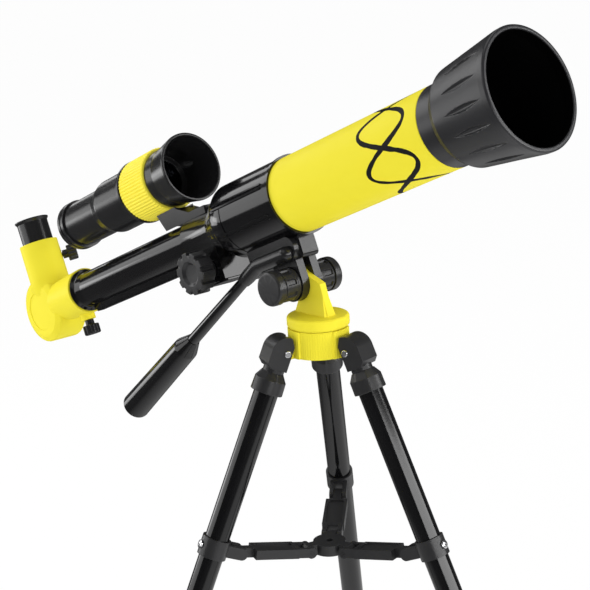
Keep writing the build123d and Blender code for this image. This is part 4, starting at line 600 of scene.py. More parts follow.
RUBBER = Finish(
    "foot_rubber", Slot.RUBBER, (0.020, 0.020, 0.020), (0.028, 0.027, 0.026), (0.62, 0.75),
    grain=1600.0, grain_height=0.12,
)
STEEL = Finish(
    "plated_steel", Slot.STEEL, (0.72, 0.72, 0.73), (0.66, 0.66, 0.67), (0.18, 0.28),
    grain=1200.0, metallic=1.0,
)
BRASS = Finish(
    "turned_brass", Slot.BRASS, (0.78, 0.57, 0.25), (0.70, 0.50, 0.21), (0.25, 0.36), metallic=1.0,
)
GLASS = Finish(
    "lens_glass", Slot.GLASS, (0.30, 0.33, 0.40), (0.28, 0.31, 0.41), (0.02, 0.03),
    grain_height=0.0, transmission=1.0, specular=0.3,
)
MIRROR = Finish(
    "mirror_coating", Slot.MIRROR, (0.92, 0.93, 0.94), (0.90, 0.91, 0.92), (0.02, 0.04),
    grain_height=0.0, metallic=1.0,
)


class Workshop:
    """Puts finished pieces on their bodies."""

    def __init__(self) -> None:
        """Note which body each solid rides on."""
        self.body_of = {
            node: body
            for body, nodes in frame["record"]["behaviour"]["bodies"].items()
            for node in nodes
        }

    def fit(self, mesh: bpy.types.Mesh, node: str, finish: Finish, bevel: float = 0.0) -> None:
        """Set a mesh in place of a solid.

        Args:
            mesh: The finished mesh, in the row frame.
            node: The solid that it stands for.
            finish: Its finish.
            bevel: Rounding of its hard edges in millimetres, 0 for none.
        """
        piece = bpy.data.objects.new(mesh.name, mesh)
        bpy.context.scene.collection.objects.link(piece)
        mesh.materials.append(finish.material())
        mesh.shade_smooth()
        if bevel:
            edge = piece.modifiers.new("edge_rounding", "BEVEL")
            edge.width = bevel * MM
            edge.segments = BEVEL_SEGMENTS
            edge.limit_method = "ANGLE"
            edge.angle_limit = radians(BEVEL_ANGLE)
            edge.use_clamp_overlap = True
            edge.harden_normals = False
        else:
            mesh.set_sharp_from_angle(angle=radians(SHARP_ANGLE))
        even = piece.modifiers.new("even_shading", "WEIGHTED_NORMAL")
        even.keep_sharp = True
        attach(piece, self.body_of[node])
        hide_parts(node)
        log.info("%s: %d faces on %s", mesh.name, len(mesh.polygons), self.body_of[node])

    def dress(self, node: str, finish: Finish) -> None:
        """Give a solid that stays in view its finish."""
        mesh = frame["nodes"][node].data
        mesh.materials.clear()
        mesh.materials.append(finish.material())
        log.info("%s: solid in %s", node, finish.name)

    def soften(self, node: str, finish: Finish, bevel: float) -> None:
        """Swap a solid for a merged copy with rounded edges."""
        self.fit(merged_copy(f"{node}_moulding", node), node, finish, bevel)

    def surface(
        self, part: str, node: str, grid: np.ndarray, place: Place, finish: Finish, close_rows: bool = True
    ) -> None:
        """Swap a solid for a surface.

        Args:
            part: What the surface is, which follows the node in its name.
            node: The solid that it stands for.
            grid: Its points in the place's frame, rows by columns.
            place: Frame of the points.
            finish: Its finish.
            close_rows: Whether the last row joins the first.
        """
        self.fit(grid_mesh(f"{node}_{part}", place.put(grid), close_rows), node, finish)

    def lathe(
        self, node: str, corners: Outline, place: Place, finish: Finish,
        rounding: float | list[float] = 0.4, columns: int = 128,
    ) -> None:
        """Swap a solid for a turned form with rounded corners.

        Args:
            node: The solid that it stands for.
            corners: Outline (z, radius) in the place's frame.
            place: Frame whose z is the turning axis.
            finish: Its finish.
            rounding: Corner radius, or one for each corner.
            columns: Points round the axis.
        """
        self.surface("turning", node, turned(rounded(corners, rounding), ring(columns)), place, finish)


@dataclass
class Tripod:
    """Crown, three folding legs and the spreader between them."""

    legs: int = 3
    first_azimuth: float = 10.2
    splay: float = 23.4
    leg_top_height: float = 300.0
    leg_top_radius: float = 26.9
    tube_radius: float = 7.0
    tube_wall: float = 0.9
    collar_radius: float = 9.2
    collar_neck: float = 6.6
    collar_top: float = 4.8
    collar_lip: float = 3.0
    collar_length: float = 12.0
    collar_cone: float = 4.2
    collar_facets: int = 8
    facet_columns: int = 16
    facet_fade: float = 0.9
    foot_length: float = 22.0
    clamp_from_top: float = 109.1
    clamp_wall: float = 1.3
    screw_radius: float = 2.4
    screw_height: float = 1.5
    screw_shank: float = 1.1
    screw_dome: float = 0.45
    screw_rows: int = 26
    screw_columns: int = 72
    recess_arm: float = 1.5
    recess_half_width: float = 0.32
    recess_depth: float = 0.7
    recess_ease: float = 0.12

    def leg_place(self, leg: int) -> Place:
        """Frame of one leg: z up along its axis, x away from the tripod axis."""
        turn = radians(self.first_azimuth + leg * 360 / self.legs)
        splay = radians(self.splay)
        out = np.array([cos(turn), sin(turn), 0.0])
        up = np.array([0.0, 0.0, 1.0])
        return Place(
            tuple(out * self.leg_top_radius + up * self.leg_top_height),
            tuple(out * cos(splay) + up * sin(splay)),
            tuple(up * cos(splay) - out * sin(splay)),
        )

    def collar_grid(self) -> np.ndarray:
        """Leg collar: a turned cap whose cone is cut by even flats.

        A flat takes the radius down to the chord of its facet: R cos h / cos b, with h half the
        facet's turn and b the turn from its middle. It fades out where the cone meets the sleeve.

        Returns:
            The grid of points, z up along the leg.
        """
        bore = self.tube_radius - self.tube_wall
        top, low = -self.collar_top, -self.collar_top - self.collar_length
        shoulder = top - self.collar_cone
        seat = top - self.collar_lip
        corners = [
            (top, bore), (top, self.collar_neck), (shoulder, self.collar_radius),
            (low, self.collar_radius), (low, self.tube_radius + FIT), (seat, self.tube_radius + FIT),
            (seat, bore),
        ]
        profile = rounded(corners, [0.1, 0.5, 0.7, 0.4, 0.1, 0.1, 0.1])
        columns = ring(self.collar_facets * self.facet_columns)
        half = pi / self.collar_facets
        turn = np.mod(columns, 2 * half) - half
        flat = cos(half) / np.cos(turn) - 1.0
        margin = 0.2
        clear_of_bore = profile[:, 1] > bore + margin
        share = smoothstep(shoulder - self.facet_fade, shoulder + self.facet_fade, profile[:, 0])
        return turned(profile, columns, profile[:, 1:2] * (share * clear_of_bore)[:, None] * flat)

    def screw_grid(self) -> np.ndarray:
        """Domed screw head with a cross recess.

        Rows run out from the head's middle, down its side and along the shank. The recess sinks a
        row's height by its depth where the point lies in either arm of the cross.

        Returns:
            The grid of points, z out of the clamp.
        """
        columns = ring(self.screw_columns)
        spread = np.linspace(0.0, self.screw_radius, self.screw_rows)
        crown = self.screw_height * (1.0 - self.screw_dome * (spread / self.screw_radius) ** 2)
        x_way = spread[:, None] * np.cos(columns)
        y_way = spread[:, None] * np.sin(columns)
        arms = [
            smoothstep(0, self.recess_ease, self.recess_half_width - np.abs(across))
            * smoothstep(0, self.recess_ease, self.recess_arm - np.abs(along))
            for along, across in ((x_way, y_way), (y_way, x_way))
        ]
        top_height = crown[:, None] - self.recess_depth * np.maximum(*arms)
        top = np.stack([x_way, y_way, top_height], axis=-1)
        side = np.array([
            (0.0, self.screw_radius), (0.0, self.screw_shank),
            (-self.clamp_wall, self.screw_shank), (-self.clamp_wall, 0.0),
        ])
        return np.concatenate([top, turned(side, columns)])

    def build(self, shop: Workshop) -> None:
        """Dress the crown and the spreader's hub, then make each leg with its arm."""
        shop.soften("tripod_crown", FLUTED_YELLOW, bevel=0.7)
        shop.soften("hinge_pins", STEEL, bevel=0.3)
        shop.soften("spreader_hub", MOULDED_BLACK, bevel=0.5)
        shop.dress("hub_pins", PIN_BLACK)
        floor_along = self.leg_top_height / cos(radians(self.splay))
        tube_top = -self.collar_top - self.collar_lip - SLIP
        tube_end = self.foot_length / 2 - floor_along
        bore = self.tube_radius - self.tube_wall
        for leg in range(self.legs):
            place = self.leg_place(leg)
            number = leg + 1
            shop.soften(f"leg_bracket_{number}", MOULDED_BLACK, bevel=0.8)
            shop.soften(f"spreader_clamp_{number}", MOULDED_BLACK, bevel=0.35)
            shop.soften(f"spreader_arm_{number}", MOULDED_BLACK, bevel=0.5)
            shop.soften(f"leg_foot_{number}", RUBBER, bevel=0.9)
            shop.lathe(
                f"leg_tube_{number}",
                [
                    (tube_top, bore), (tube_top, self.tube_radius),
                    (tube_end, self.tube_radius), (tube_end, bore),
                ],
                place, TUBE_BLACK, rounding=0.25, columns=96,
            )
            shop.surface("cap", f"leg_collar_{number}", self.collar_grid(), place, MOULDED_BLACK)
            seat = place.inner(
                (self.tube_radius + self.clamp_wall + FIT, 0, -self.clamp_from_top), (0, 0, 1), (1, 0, 0)
            )
            shop.surface("head", f"clamp_screw_{number}", self.screw_grid(), seat, STEEL)


@dataclass
class Head:
    """Pan head, tilt bracket, clamp knobs and the pan handle."""

    tilt_s: float = -32.2
    tilt_h: float = -45.4
    ear_face: float = 7.55
    bolt_radius: float = 3.0
    bolt_in_knob: float = 9.0
    knob_radius: float = 9.8
    knob_length: float = 16.4
    cap_length: float = 5.4
    cap_round: float = 1.6
    groove: float = 0.8
    barrel_radius: float = 9.3
    flange_radius: float = 9.6
    flange_length: float = 1.8
    slots: int = 8
    slot_depth: float = 0.9
    slot_width: float = 3.0
    slot_margin: float = 0.8
    slot_end_ease: float = 0.5
    slot_side_ease: float = 0.15
    slot_columns: int = 40
    slot_spacing: float = 0.35
    handle_y: float = -11.4
    socket_s: float = -24.0
    socket_h: float = -29.3
    socket_radius: float = 4.4
    bend_s: float = -49.5
    droop: float = 18.6
    sleeve_length: float = 17.0
    bend_radius: float = 12.0
    rod_radius: float = 3.1
    rod_root: float = 3.7
    rod_in_sleeve: float = 12.0
    rod_end: float = 126.5
    grip_start: float = 84.5
    grip_shoulder: float = 95.5
    grip_end: float = 171.5
    grip_neck: float = 4.0
    grip_radius: float = 7.7
    grip_tail: float = 9.0

    def knob_grid(self) -> np.ndarray:
        """Clamp knob: a turned profile whose barrel is cut by even finger slots.

        A slot takes its depth off the radius where the distance round the barrel to the slot's
        middle is under half its width, eased at its sides and at its two ends.

        Returns:
            The grid of points, z out of the ear.
        """
        barrel_end = self.knob_length - self.cap_length
        bore = self.bolt_radius + FIT
        slot_low = self.flange_length + self.slot_margin
        slot_high = barrel_end - self.groove - self.slot_margin
        full_low = slot_low + self.slot_end_ease
        full_high = slot_high - self.slot_end_ease
        corners = [
            (0, bore), (0, self.flange_radius), (self.flange_length, self.flange_radius),
            (self.flange_length, self.barrel_radius), (slot_low, self.barrel_radius),
            (full_low, self.barrel_radius), (full_high, self.barrel_radius),
            (slot_high, self.barrel_radius), (barrel_end - self.groove, self.barrel_radius),
            (barrel_end - self.groove, self.barrel_radius - self.groove),
            (barrel_end, self.barrel_radius - self.groove), (barrel_end, self.knob_radius),
            (self.knob_length, self.knob_radius), (self.knob_length, 0),
            (self.bolt_in_knob + SLIP, 0), (self.bolt_in_knob + SLIP, bore),
        ]
        radii = [0.2, 0.5, 0.5, 0.15, 0, 0, 0, 0, 0.3, 0.15, 0.15, 0.3, self.cap_round, 0, 0, 0.1]
        profile = rounded(corners, radii)
        angles, from_slot = repeats(self.slots, self.slot_columns, self.slot_spacing)
        side = self.slot_width / 2
        across = smoothstep(
            side + self.slot_side_ease, side - self.slot_side_ease, np.abs(from_slot) * self.barrel_radius
        )
        along = profile[:, 0]
        lengthwise = smoothstep(slot_low, full_low, along) * smoothstep(slot_high, full_high, along)
        outside = profile[:, 1] > self.barrel_radius - SLACK
        return turned(profile, angles, -self.slot_depth * (lengthwise * outside)[:, None] * across)

    def socket_grid(self) -> np.ndarray:
        """Bent socket: a round section carried along its route, with a ball front end.

        The route is level, turns down on an arc of the bend's radius and runs on straight. The
        section's radius rises from 0 as the root of 1 - t squared at the front, and towards the rear
        it eases in by the rim.

        Returns:
            The grid of points in the telescope's frame.
        """
        rows, rim_rows, columns = 12, 6, 64
        step, run_step, rim, point = 0.8, 1.0, 0.5, 1e-4
        droop = radians(self.droop)
        setback = self.bend_radius * np.tan(droop / 2)
        arc = np.linspace(0.0, droop, rows + 2)
        arc_s = self.bend_s + setback - self.bend_radius * np.sin(arc)
        arc_h = self.socket_h - self.bend_radius * (1 - np.cos(arc))
        ball = np.linspace(0.0, pi / 2, rows)
        ball_s = self.socket_s + self.socket_radius * np.cos(ball)
        level = np.linspace(self.socket_s - step, self.bend_s + setback + step, rows)
        run = np.linspace(setback + run_step, self.sleeve_length, rows)
        path_s = np.concatenate([ball_s, level, arc_s, self.bend_s - run * cos(droop)])
        path_h = np.concatenate(
            [np.full(2 * rows, self.socket_h), arc_h, self.socket_h - run * sin(droop)]
        )
        radius = np.full(len(path_s), self.socket_radius)
        radius[:rows] = self.socket_radius * np.sin(ball)
        radius[-rim_rows:] -= rim * (1 - np.cos(np.linspace(0.0, pi / 2, rim_rows)))
        path = np.stack([path_s, np.full(len(path_s), self.handle_y), path_h], axis=-1)
        return carried(path, np.maximum(radius, point), np.array([0.0, 1.0, 0.0]), columns)

    def build(self, shop: Workshop) -> None:
        """Make the knobs and handle, and soften the head and bracket."""
        shop.soften("pan_head", YELLOW, bevel=0.7)
        shop.dress("pan_screw", STEEL)
        shop.soften("tilt_bracket", SATIN_BLACK, bevel=0.7)
        shop.dress("tilt_bolt", STEEL)
        for side in Side:
            seat = TUBE.inner(
                (self.tilt_s, side.value * (self.ear_face + GAP), self.tilt_h),
                (1, 0, 0), (0, side.value, 0),
            )
            node = f"tilt_knob_{side.name.lower()}"
            shop.surface("grip", node, self.knob_grid(), seat, MOULDED_BLACK)
        shop.surface("bar", "handle_socket", self.socket_grid(), TUBE, SATIN_BLACK, close_rows=False)
        droop = radians(self.droop)
        handle = TUBE.inner(
            (self.bend_s, self.handle_y, self.socket_h), (0, 1, 0), (-cos(droop), 0, -sin(droop))
        )
        rod_start = self.sleeve_length - self.rod_in_sleeve + SLIP
        shop.lathe(
            "handle_rod",
            [
                (rod_start, 0), (rod_start, self.rod_radius), (self.grip_start, self.rod_root),
                (self.rod_end, self.rod_radius), (self.rod_end, 0),
            ],
            handle, TUBE_BLACK, rounding=[0, 0.3, 0, 0.3, 0], columns=64,
        )
        shop.lathe(
            "handle_grip",
            [
                (self.grip_start, 0), (self.grip_start, self.grip_neck),
                (self.grip_shoulder, self.grip_radius), (self.grip_end, self.grip_tail), (self.grip_end, 0),
            ],
            handle, GRIP_BLACK, rounding=[0, 0.4, 6.0, 1.1, 0], columns=96,
        )


@dataclass
class Barrel:
    """Main tube, hood, objective and its ring."""

    tube_radius: float = 21.7
    tube_wall: float = 1.5
    tube_front: float = 108.4
    tube_rear: float = -24.4
    spigot: float = 12.0
    hood_wall: float = 1.8
    collar_end: float = 118.2
    step_length: float = 1.4
    step_drop: float = 2.4
    shoulder_s: float = 123.6
    shoulder_radius: float = 26.2
    rim_s: float = 163.9
    rim_radius: float = 31.4
    mouth_radius: float = 28.8
    mouth_depth: float = 6.0
    throat_s: float = 125.0
    throat_radius: float = 23.4
    hollows: int = 16
    hollow_start: float = 132.0
    hollow_end: float = 158.0
    hollow_depth: float = 1.5
    hollow_columns: int = 32
    hollow_spacing: float = 0.3
    flare_rows: int = 64
    # Thickness of the painted shade sheet inside the hood, and its setback from the rim
    shade_sheet_wall: float = 0.2
    shade_sheet_inset: float = 0.6
    lens_radius: float = 20.0
    lens_seat: float = 110.0
    lens_edge: float = 2.4
    ring_thickness: float = 2.4
    ring_width: float = 1.6

    @property
    def ring_rear(self) -> float:
        """Place of the lens ring's rear face along the optical axis."""
        return self.lens_seat + self.lens_edge + GAP

    @property
    def ring_front(self) -> float:
        """Place of the lens ring's front face along the optical axis."""
        return self.ring_rear + self.ring_thickness

    def hood_grid(self) -> np.ndarray:
        """Flared hood with leaf-shaped finger hollows.

        A hollow is the dip of a spindle laid along the flare: its half width is the depth times
        1 - t squared, t the share of the way from its middle to an end, and the radius drops by the
        root of that half width squared less the squared distance round to the hollow's middle.

        Returns:
            The grid of points along the optical axis.
        """
        bore = self.tube_radius - self.tube_wall - FIT
        plug = self.tube_front - self.spigot
        start = (self.shoulder_s, self.shoulder_radius)
        rim = (self.rim_s - self.hood_wall, self.rim_radius)
        flare = np.linspace(start, rim, self.flare_rows)
        corners = [
            (plug, bore - self.hood_wall), (plug, bore),
            (self.tube_front + SLIP, bore), (self.tube_front + SLIP, self.tube_radius),
            (self.collar_end, self.tube_radius),
            (self.collar_end + self.step_length, self.shoulder_radius - self.step_drop),
            start, (self.rim_s, self.rim_radius), (self.rim_s, self.mouth_radius),
            (self.rim_s - self.mouth_depth, self.mouth_radius), (self.throat_s, self.throat_radius),
            (self.ring_front, self.lens_radius + FIT), (self.lens_seat, self.lens_radius + FIT),
            (self.lens_seat, bore - self.hood_wall),
        ]
        radii = [0.2, 0.2, 0.1, 0.4, 0.5, 1.6, 2.4, 1.1, 0.5, 1.0, 2.0, 0.4, 0.1, 0.1]
        outline = rounded(corners, radii)
        past_start = (corners.index(start) + 1) * ARC_STEPS
        clear_of_start, clear_of_rim = 2.0, 1.6
        between = (flare[:, 0] > start[0] + clear_of_start) & (flare[:, 0] < rim[0] - clear_of_rim)
        profile = np.concatenate([outline[:past_start], flare[between], outline[past_start:]])
        angles, from_hollow = repeats(self.hollows, self.hollow_columns, self.hollow_spacing)
        round_way = from_hollow[None, :] * profile[:, 1:2]
        middle = (self.hollow_start + self.hollow_end) / 2
        lengthwise = (profile[:, 0] - middle) / (self.hollow_end - middle)
        under_flare = 0.13
        outside = profile[:, 1] > self.shoulder_radius + (profile[:, 0] - self.shoulder_s) * under_flare
        half_width = self.hollow_depth * np.clip(1 - lengthwise**2, 0.0, 1.0) * outside
        dip = np.sqrt(np.maximum(half_width[:, None] ** 2 - round_way**2, 0.0))
        return turned(profile, angles, -dip)

    def build(self, shop: Workshop) -> None:
        """Make the tube, the hood and the ring, and dress the lens."""
        bore = self.tube_radius - self.tube_wall
        shop.lathe(
            "main_tube",
            [
                (self.tube_rear, bore), (self.tube_rear, self.tube_radius),
                (self.tube_front, self.tube_radius), (self.tube_front, bore),
            ],
            OPTIC_AXIS, PRINTED_YELLOW, columns=192,
        )
        shop.surface("flare", "lens_hood", self.hood_grid(), OPTIC_AXIS, HOOD_BLACK)
        # A thin sheet of painted shade lines the hood's mouth and throat, down to the lens ring.
        mouth = self.mouth_radius - FIT
        inside = [
            (self.rim_s - self.shade_sheet_inset, mouth), (self.rim_s - self.mouth_depth, mouth),
            (self.throat_s, self.throat_radius - FIT), (self.ring_front + FIT, self.lens_radius),
        ]
        shade_sheet = inside + [(along, radius - self.shade_sheet_wall) for along, radius in reversed(inside)]
        radii = [0.05, 1.0, 2.0, 0.05]
        shop.lathe("lens_hood", shade_sheet, OPTIC_AXIS, HOOD_SHADE_SHEET, radii + radii[::-1])
        inner = self.lens_radius - self.ring_width
        shop.lathe(
            "lens_ring",
            [
                (self.ring_rear, inner), (self.ring_rear, self.lens_radius),
                (self.ring_front, self.lens_radius), (self.ring_front, inner),
            ],
            OPTIC_AXIS, SATIN_BLACK, rounding=0.3,
        )
        shop.dress("objective_lens", GLASS)


@dataclass
class Focuser:
    """Rear housing, draw tube, rack and pinion with its knobs."""

    draw_radius: float = 11.6
    draw_wall: float = 1.2
    draw_front: float = -24.0
    draw_rear: float = -262.0
    rim_s: float = -243.2
    rim_width: float = 0.8
    rim_radius: float = 14.3
    rim_root: float = 12.3
    rim_flare: float = 8.5
    pinion_s: float = -93.0
    pinion_h: float = -20.8
    box_half_width: float = 10.5
    box_wall: float = 2.0
    shaft_radius: float = 2.0
    knob_radius: float = 12.6
    core_radius: float = 11.0
    knob_thickness: float = 10.0
    face_y: float = 27.0
    lugs: int = 10
    lug_width: float = 4.2
    lug_columns: int = 36
    lug_side_ease: float = 0.25
    lug_start: float = 0.2
    lug_full: float = 0.9
    dish_radius: float = 7.2
    dish_depth: float = 1.6
    neck_radius: float = 5.0

    def knob_grid(self) -> np.ndarray:
        """Lugged knob: a turned profile with even lugs raised on its rim.

        A lug adds its height to the radius where the distance round the rim to the lug's middle is
        under half its width, eased at its sides, and along the rim from its eased start to the face.

        Returns:
            The grid of points, z out of the pinion box.
        """
        inner = self.face_y - self.knob_thickness
        full = inner + self.lug_full
        dish = self.face_y - self.dish_depth
        shaft_end = dish - self.box_wall
        bore = self.shaft_radius + FIT
        corners = [
            (self.box_half_width + GAP, bore), (self.box_half_width + GAP, self.neck_radius),
            (inner, self.neck_radius), (inner, self.core_radius), (full, self.core_radius),
            (self.face_y, self.core_radius), (self.face_y, self.dish_radius),
            (dish, self.dish_radius - self.dish_depth), (dish, 0),
            (shaft_end + SLIP, 0), (shaft_end + SLIP, bore),
        ]
        radii = [0.1, 0.3, 0.4, 0.5, 0, 0.6, 0.5, 0.5, 0, 0, 0.1]
        profile = rounded(corners, radii)
        angles, from_lug = repeats(self.lugs, self.lug_columns, 1.0)
        half_pitch = pi / self.lugs
        side = self.lug_width / 2
        across = smoothstep(
            side + self.lug_side_ease, side - self.lug_side_ease, np.abs(from_lug) * self.core_radius
        )
        lengthwise = smoothstep(inner + self.lug_start, full, profile[:, 0])
        margin = 0.7
        rim = profile[:, 1] > self.core_radius - margin
        height = self.knob_radius - self.core_radius
        return turned(profile, angles + half_pitch, height * (lengthwise * rim)[:, None] * across)

    def build(self, shop: Workshop) -> None:
        """Make the draw tube and knobs, and soften the housing and cover."""
        shop.soften("rear_housing", GLOSS_BLACK, bevel=0.4)
        shop.soften("pinion_cover", GLOSS_BLACK, bevel=0.4)
        bore = self.draw_radius - self.draw_wall
        shop.lathe(
            "draw_tube",
            [
                (self.draw_rear, bore), (self.draw_rear, self.draw_radius), (self.rim_s, self.draw_radius),
                (self.rim_s, self.rim_radius), (self.rim_s + self.rim_width, self.rim_radius),
                (self.rim_s + 3 * self.rim_width, self.rim_root),
                (self.rim_s + self.rim_flare, self.draw_radius),
                (self.draw_front, self.draw_radius), (self.draw_front, bore),
            ],
            OPTIC_AXIS, TUBE_BLACK, rounding=[0.3, 0.3, 0.1, 0.2, 0.3, 2.0, 3.0, 0.3, 0.3],
        )
        shop.dress("focus_rack", GLOSS_BLACK)
        shop.dress("pinion_shaft", BRASS)
        for side in Side:
            seat = TUBE.inner((self.pinion_s, 0, self.pinion_h), (1, 0, 0), (0, side.value, 0))
            node = f"focus_knob_{side.name.lower()}"
            shop.surface("grip", node, self.knob_grid(), seat, MOULDED_BLACK)


@dataclass
class Diagonal:
    """Diagonal, eyepiece and the two thumbscrews."""

    eyepiece_s: float = -286.0
    eyepiece_radius: float = 10.7
    eyepiece_wall: float = 1.3
    top_h: float = 61.6
    bottom_h: float = 23.0
    lip_radius: float = 11.8
    lip_height: float = 2.4
    lens_h: float = 55.0
    lens_edge: float = 2.4
    lens_crown: float = 1.0
    shank_radius: float = 1.6
    neck_radius: float = 3.0
    neck_length: float = 3.4
    knob_radius: float = 5.6
    knob_length: float = 6.6
    lobes: int = 8
    lobe_columns: int = 16
    lobe_dip: float = 0.75
    lobe_inner: float = 0.5
    lobe_outer: float = 0.6
    draw_screw_s: float = -253.0
    lug_h: float = -18.6
    draw_radius: float = 11.6
    eyepiece_screw_h: float = 32.0
    eyepiece_screw_turn: float = 58.0
    neck_base_radius: float = 13.5
    drum_s: float = -289.6
    drum_h: float = -2.0
    drum_radius: float = 21.8
    drum_half_width: float = 12.4
    drum_edge: float = 2.2
    drum_face: float = 17.6
    dish_depth: float = 0.5
    dish_radius: float = 13.3

    def screw_grid(self, reach: float) -> np.ndarray:
        """Lobed thumbscrew: a turned profile whose head is dipped evenly between its lobes.

        The dip is its depth times the fourth power of half of one plus cos(n a), so it is narrow.

        Args:
            reach: Length of the shank from its tip to the neck.

        Returns:
            The grid of points, z from the tip to the head.
        """
        neck_end = reach + self.neck_length
        top = neck_end + self.knob_length
        corners = [
            (0, 0), (0, self.shank_radius), (reach, self.shank_radius), (reach, self.neck_radius),
            (neck_end, self.neck_radius), (neck_end, self.knob_radius), (top, self.knob_radius), (top, 0),
        ]
        profile = rounded(corners, [0, 0.3, 0.1, 0.3, 0.3, 0.7, 1.0, 0])
        angles = ring(self.lobes * self.lobe_columns)
        dip = self.lobe_dip * (0.5 + 0.5 * np.cos(self.lobes * angles)) ** 4
        on_head = (profile[:, 0] >= neck_end - SLACK) * smoothstep(
            self.neck_radius + self.lobe_inner, self.knob_radius - self.lobe_outer, profile[:, 1]
        )
        return turned(profile, angles, -dip * on_head[:, None])

    def build(self, shop: Workshop) -> None:
        """Make the eyepiece and screws, and soften the diagonal."""
        shop.soften("diagonal_body", YELLOW, bevel=0.5)
        across = TUBE.inner((self.drum_s, 0, self.drum_h), (1, 0, 0), (0, 1, 0))
        face = self.drum_half_width
        near_side = [
            (face - self.dish_depth, 0), (face - self.dish_depth, self.dish_radius),
            (face, self.dish_radius), (face, self.drum_face), (face - self.drum_edge, self.drum_radius),
        ]
        far_side = [(-along, radius) for along, radius in reversed(near_side)]
        radii = [0, 0.3, 0.3, 1.6, 2.2]
        shop.lathe("diagonal_body", near_side + far_side, across, YELLOW, radii + radii[::-1])
        shop.dress("diagonal_mirror", MIRROR)
        wall = self.eyepiece_wall
        bore = self.eyepiece_radius - wall
        up = TUBE.inner((self.eyepiece_s, 0, 0), (1, 0, 0), (0, 0, 1))
        shop.lathe(
            "eyepiece_barrel",
            [
                (self.bottom_h, bore), (self.bottom_h, self.eyepiece_radius),
                (self.top_h - self.lip_height, self.eyepiece_radius),
                (self.top_h - self.lip_height / 3, self.lip_radius), (self.top_h, self.lip_radius),
                (self.top_h, bore + wall), (self.lens_h + self.lens_edge + self.lens_crown, bore),
                (self.lens_h, bore), (self.lens_h, bore - wall),
                (self.lens_h - wall, bore - wall), (self.lens_h - 2 * wall, bore),
            ],
            up, SATIN_BLACK, rounding=0.3,
        )
        shop.dress("eyepiece_lens", GLASS)
        below = TUBE.inner((self.draw_screw_s, 0, -self.draw_radius - GAP), (1, 0, 0), (0, 0, -1))
        grid = self.screw_grid(-self.lug_h - self.draw_radius)
        shop.surface("head", "draw_screw", grid, below, SATIN_BLACK)
        turn = radians(self.eyepiece_screw_turn)
        out = np.array([cos(turn), sin(turn), 0.0])
        tip = np.array([self.eyepiece_s, 0.0, self.eyepiece_screw_h]) + out * (self.eyepiece_radius + GAP)
        beside = TUBE.inner(tuple(tip), (0, 0, 1), tuple(out))
        grid = self.screw_grid(self.neck_base_radius - self.eyepiece_radius)
        shop.surface("head", "eyepiece_screw", grid, beside, SATIN_BLACK)


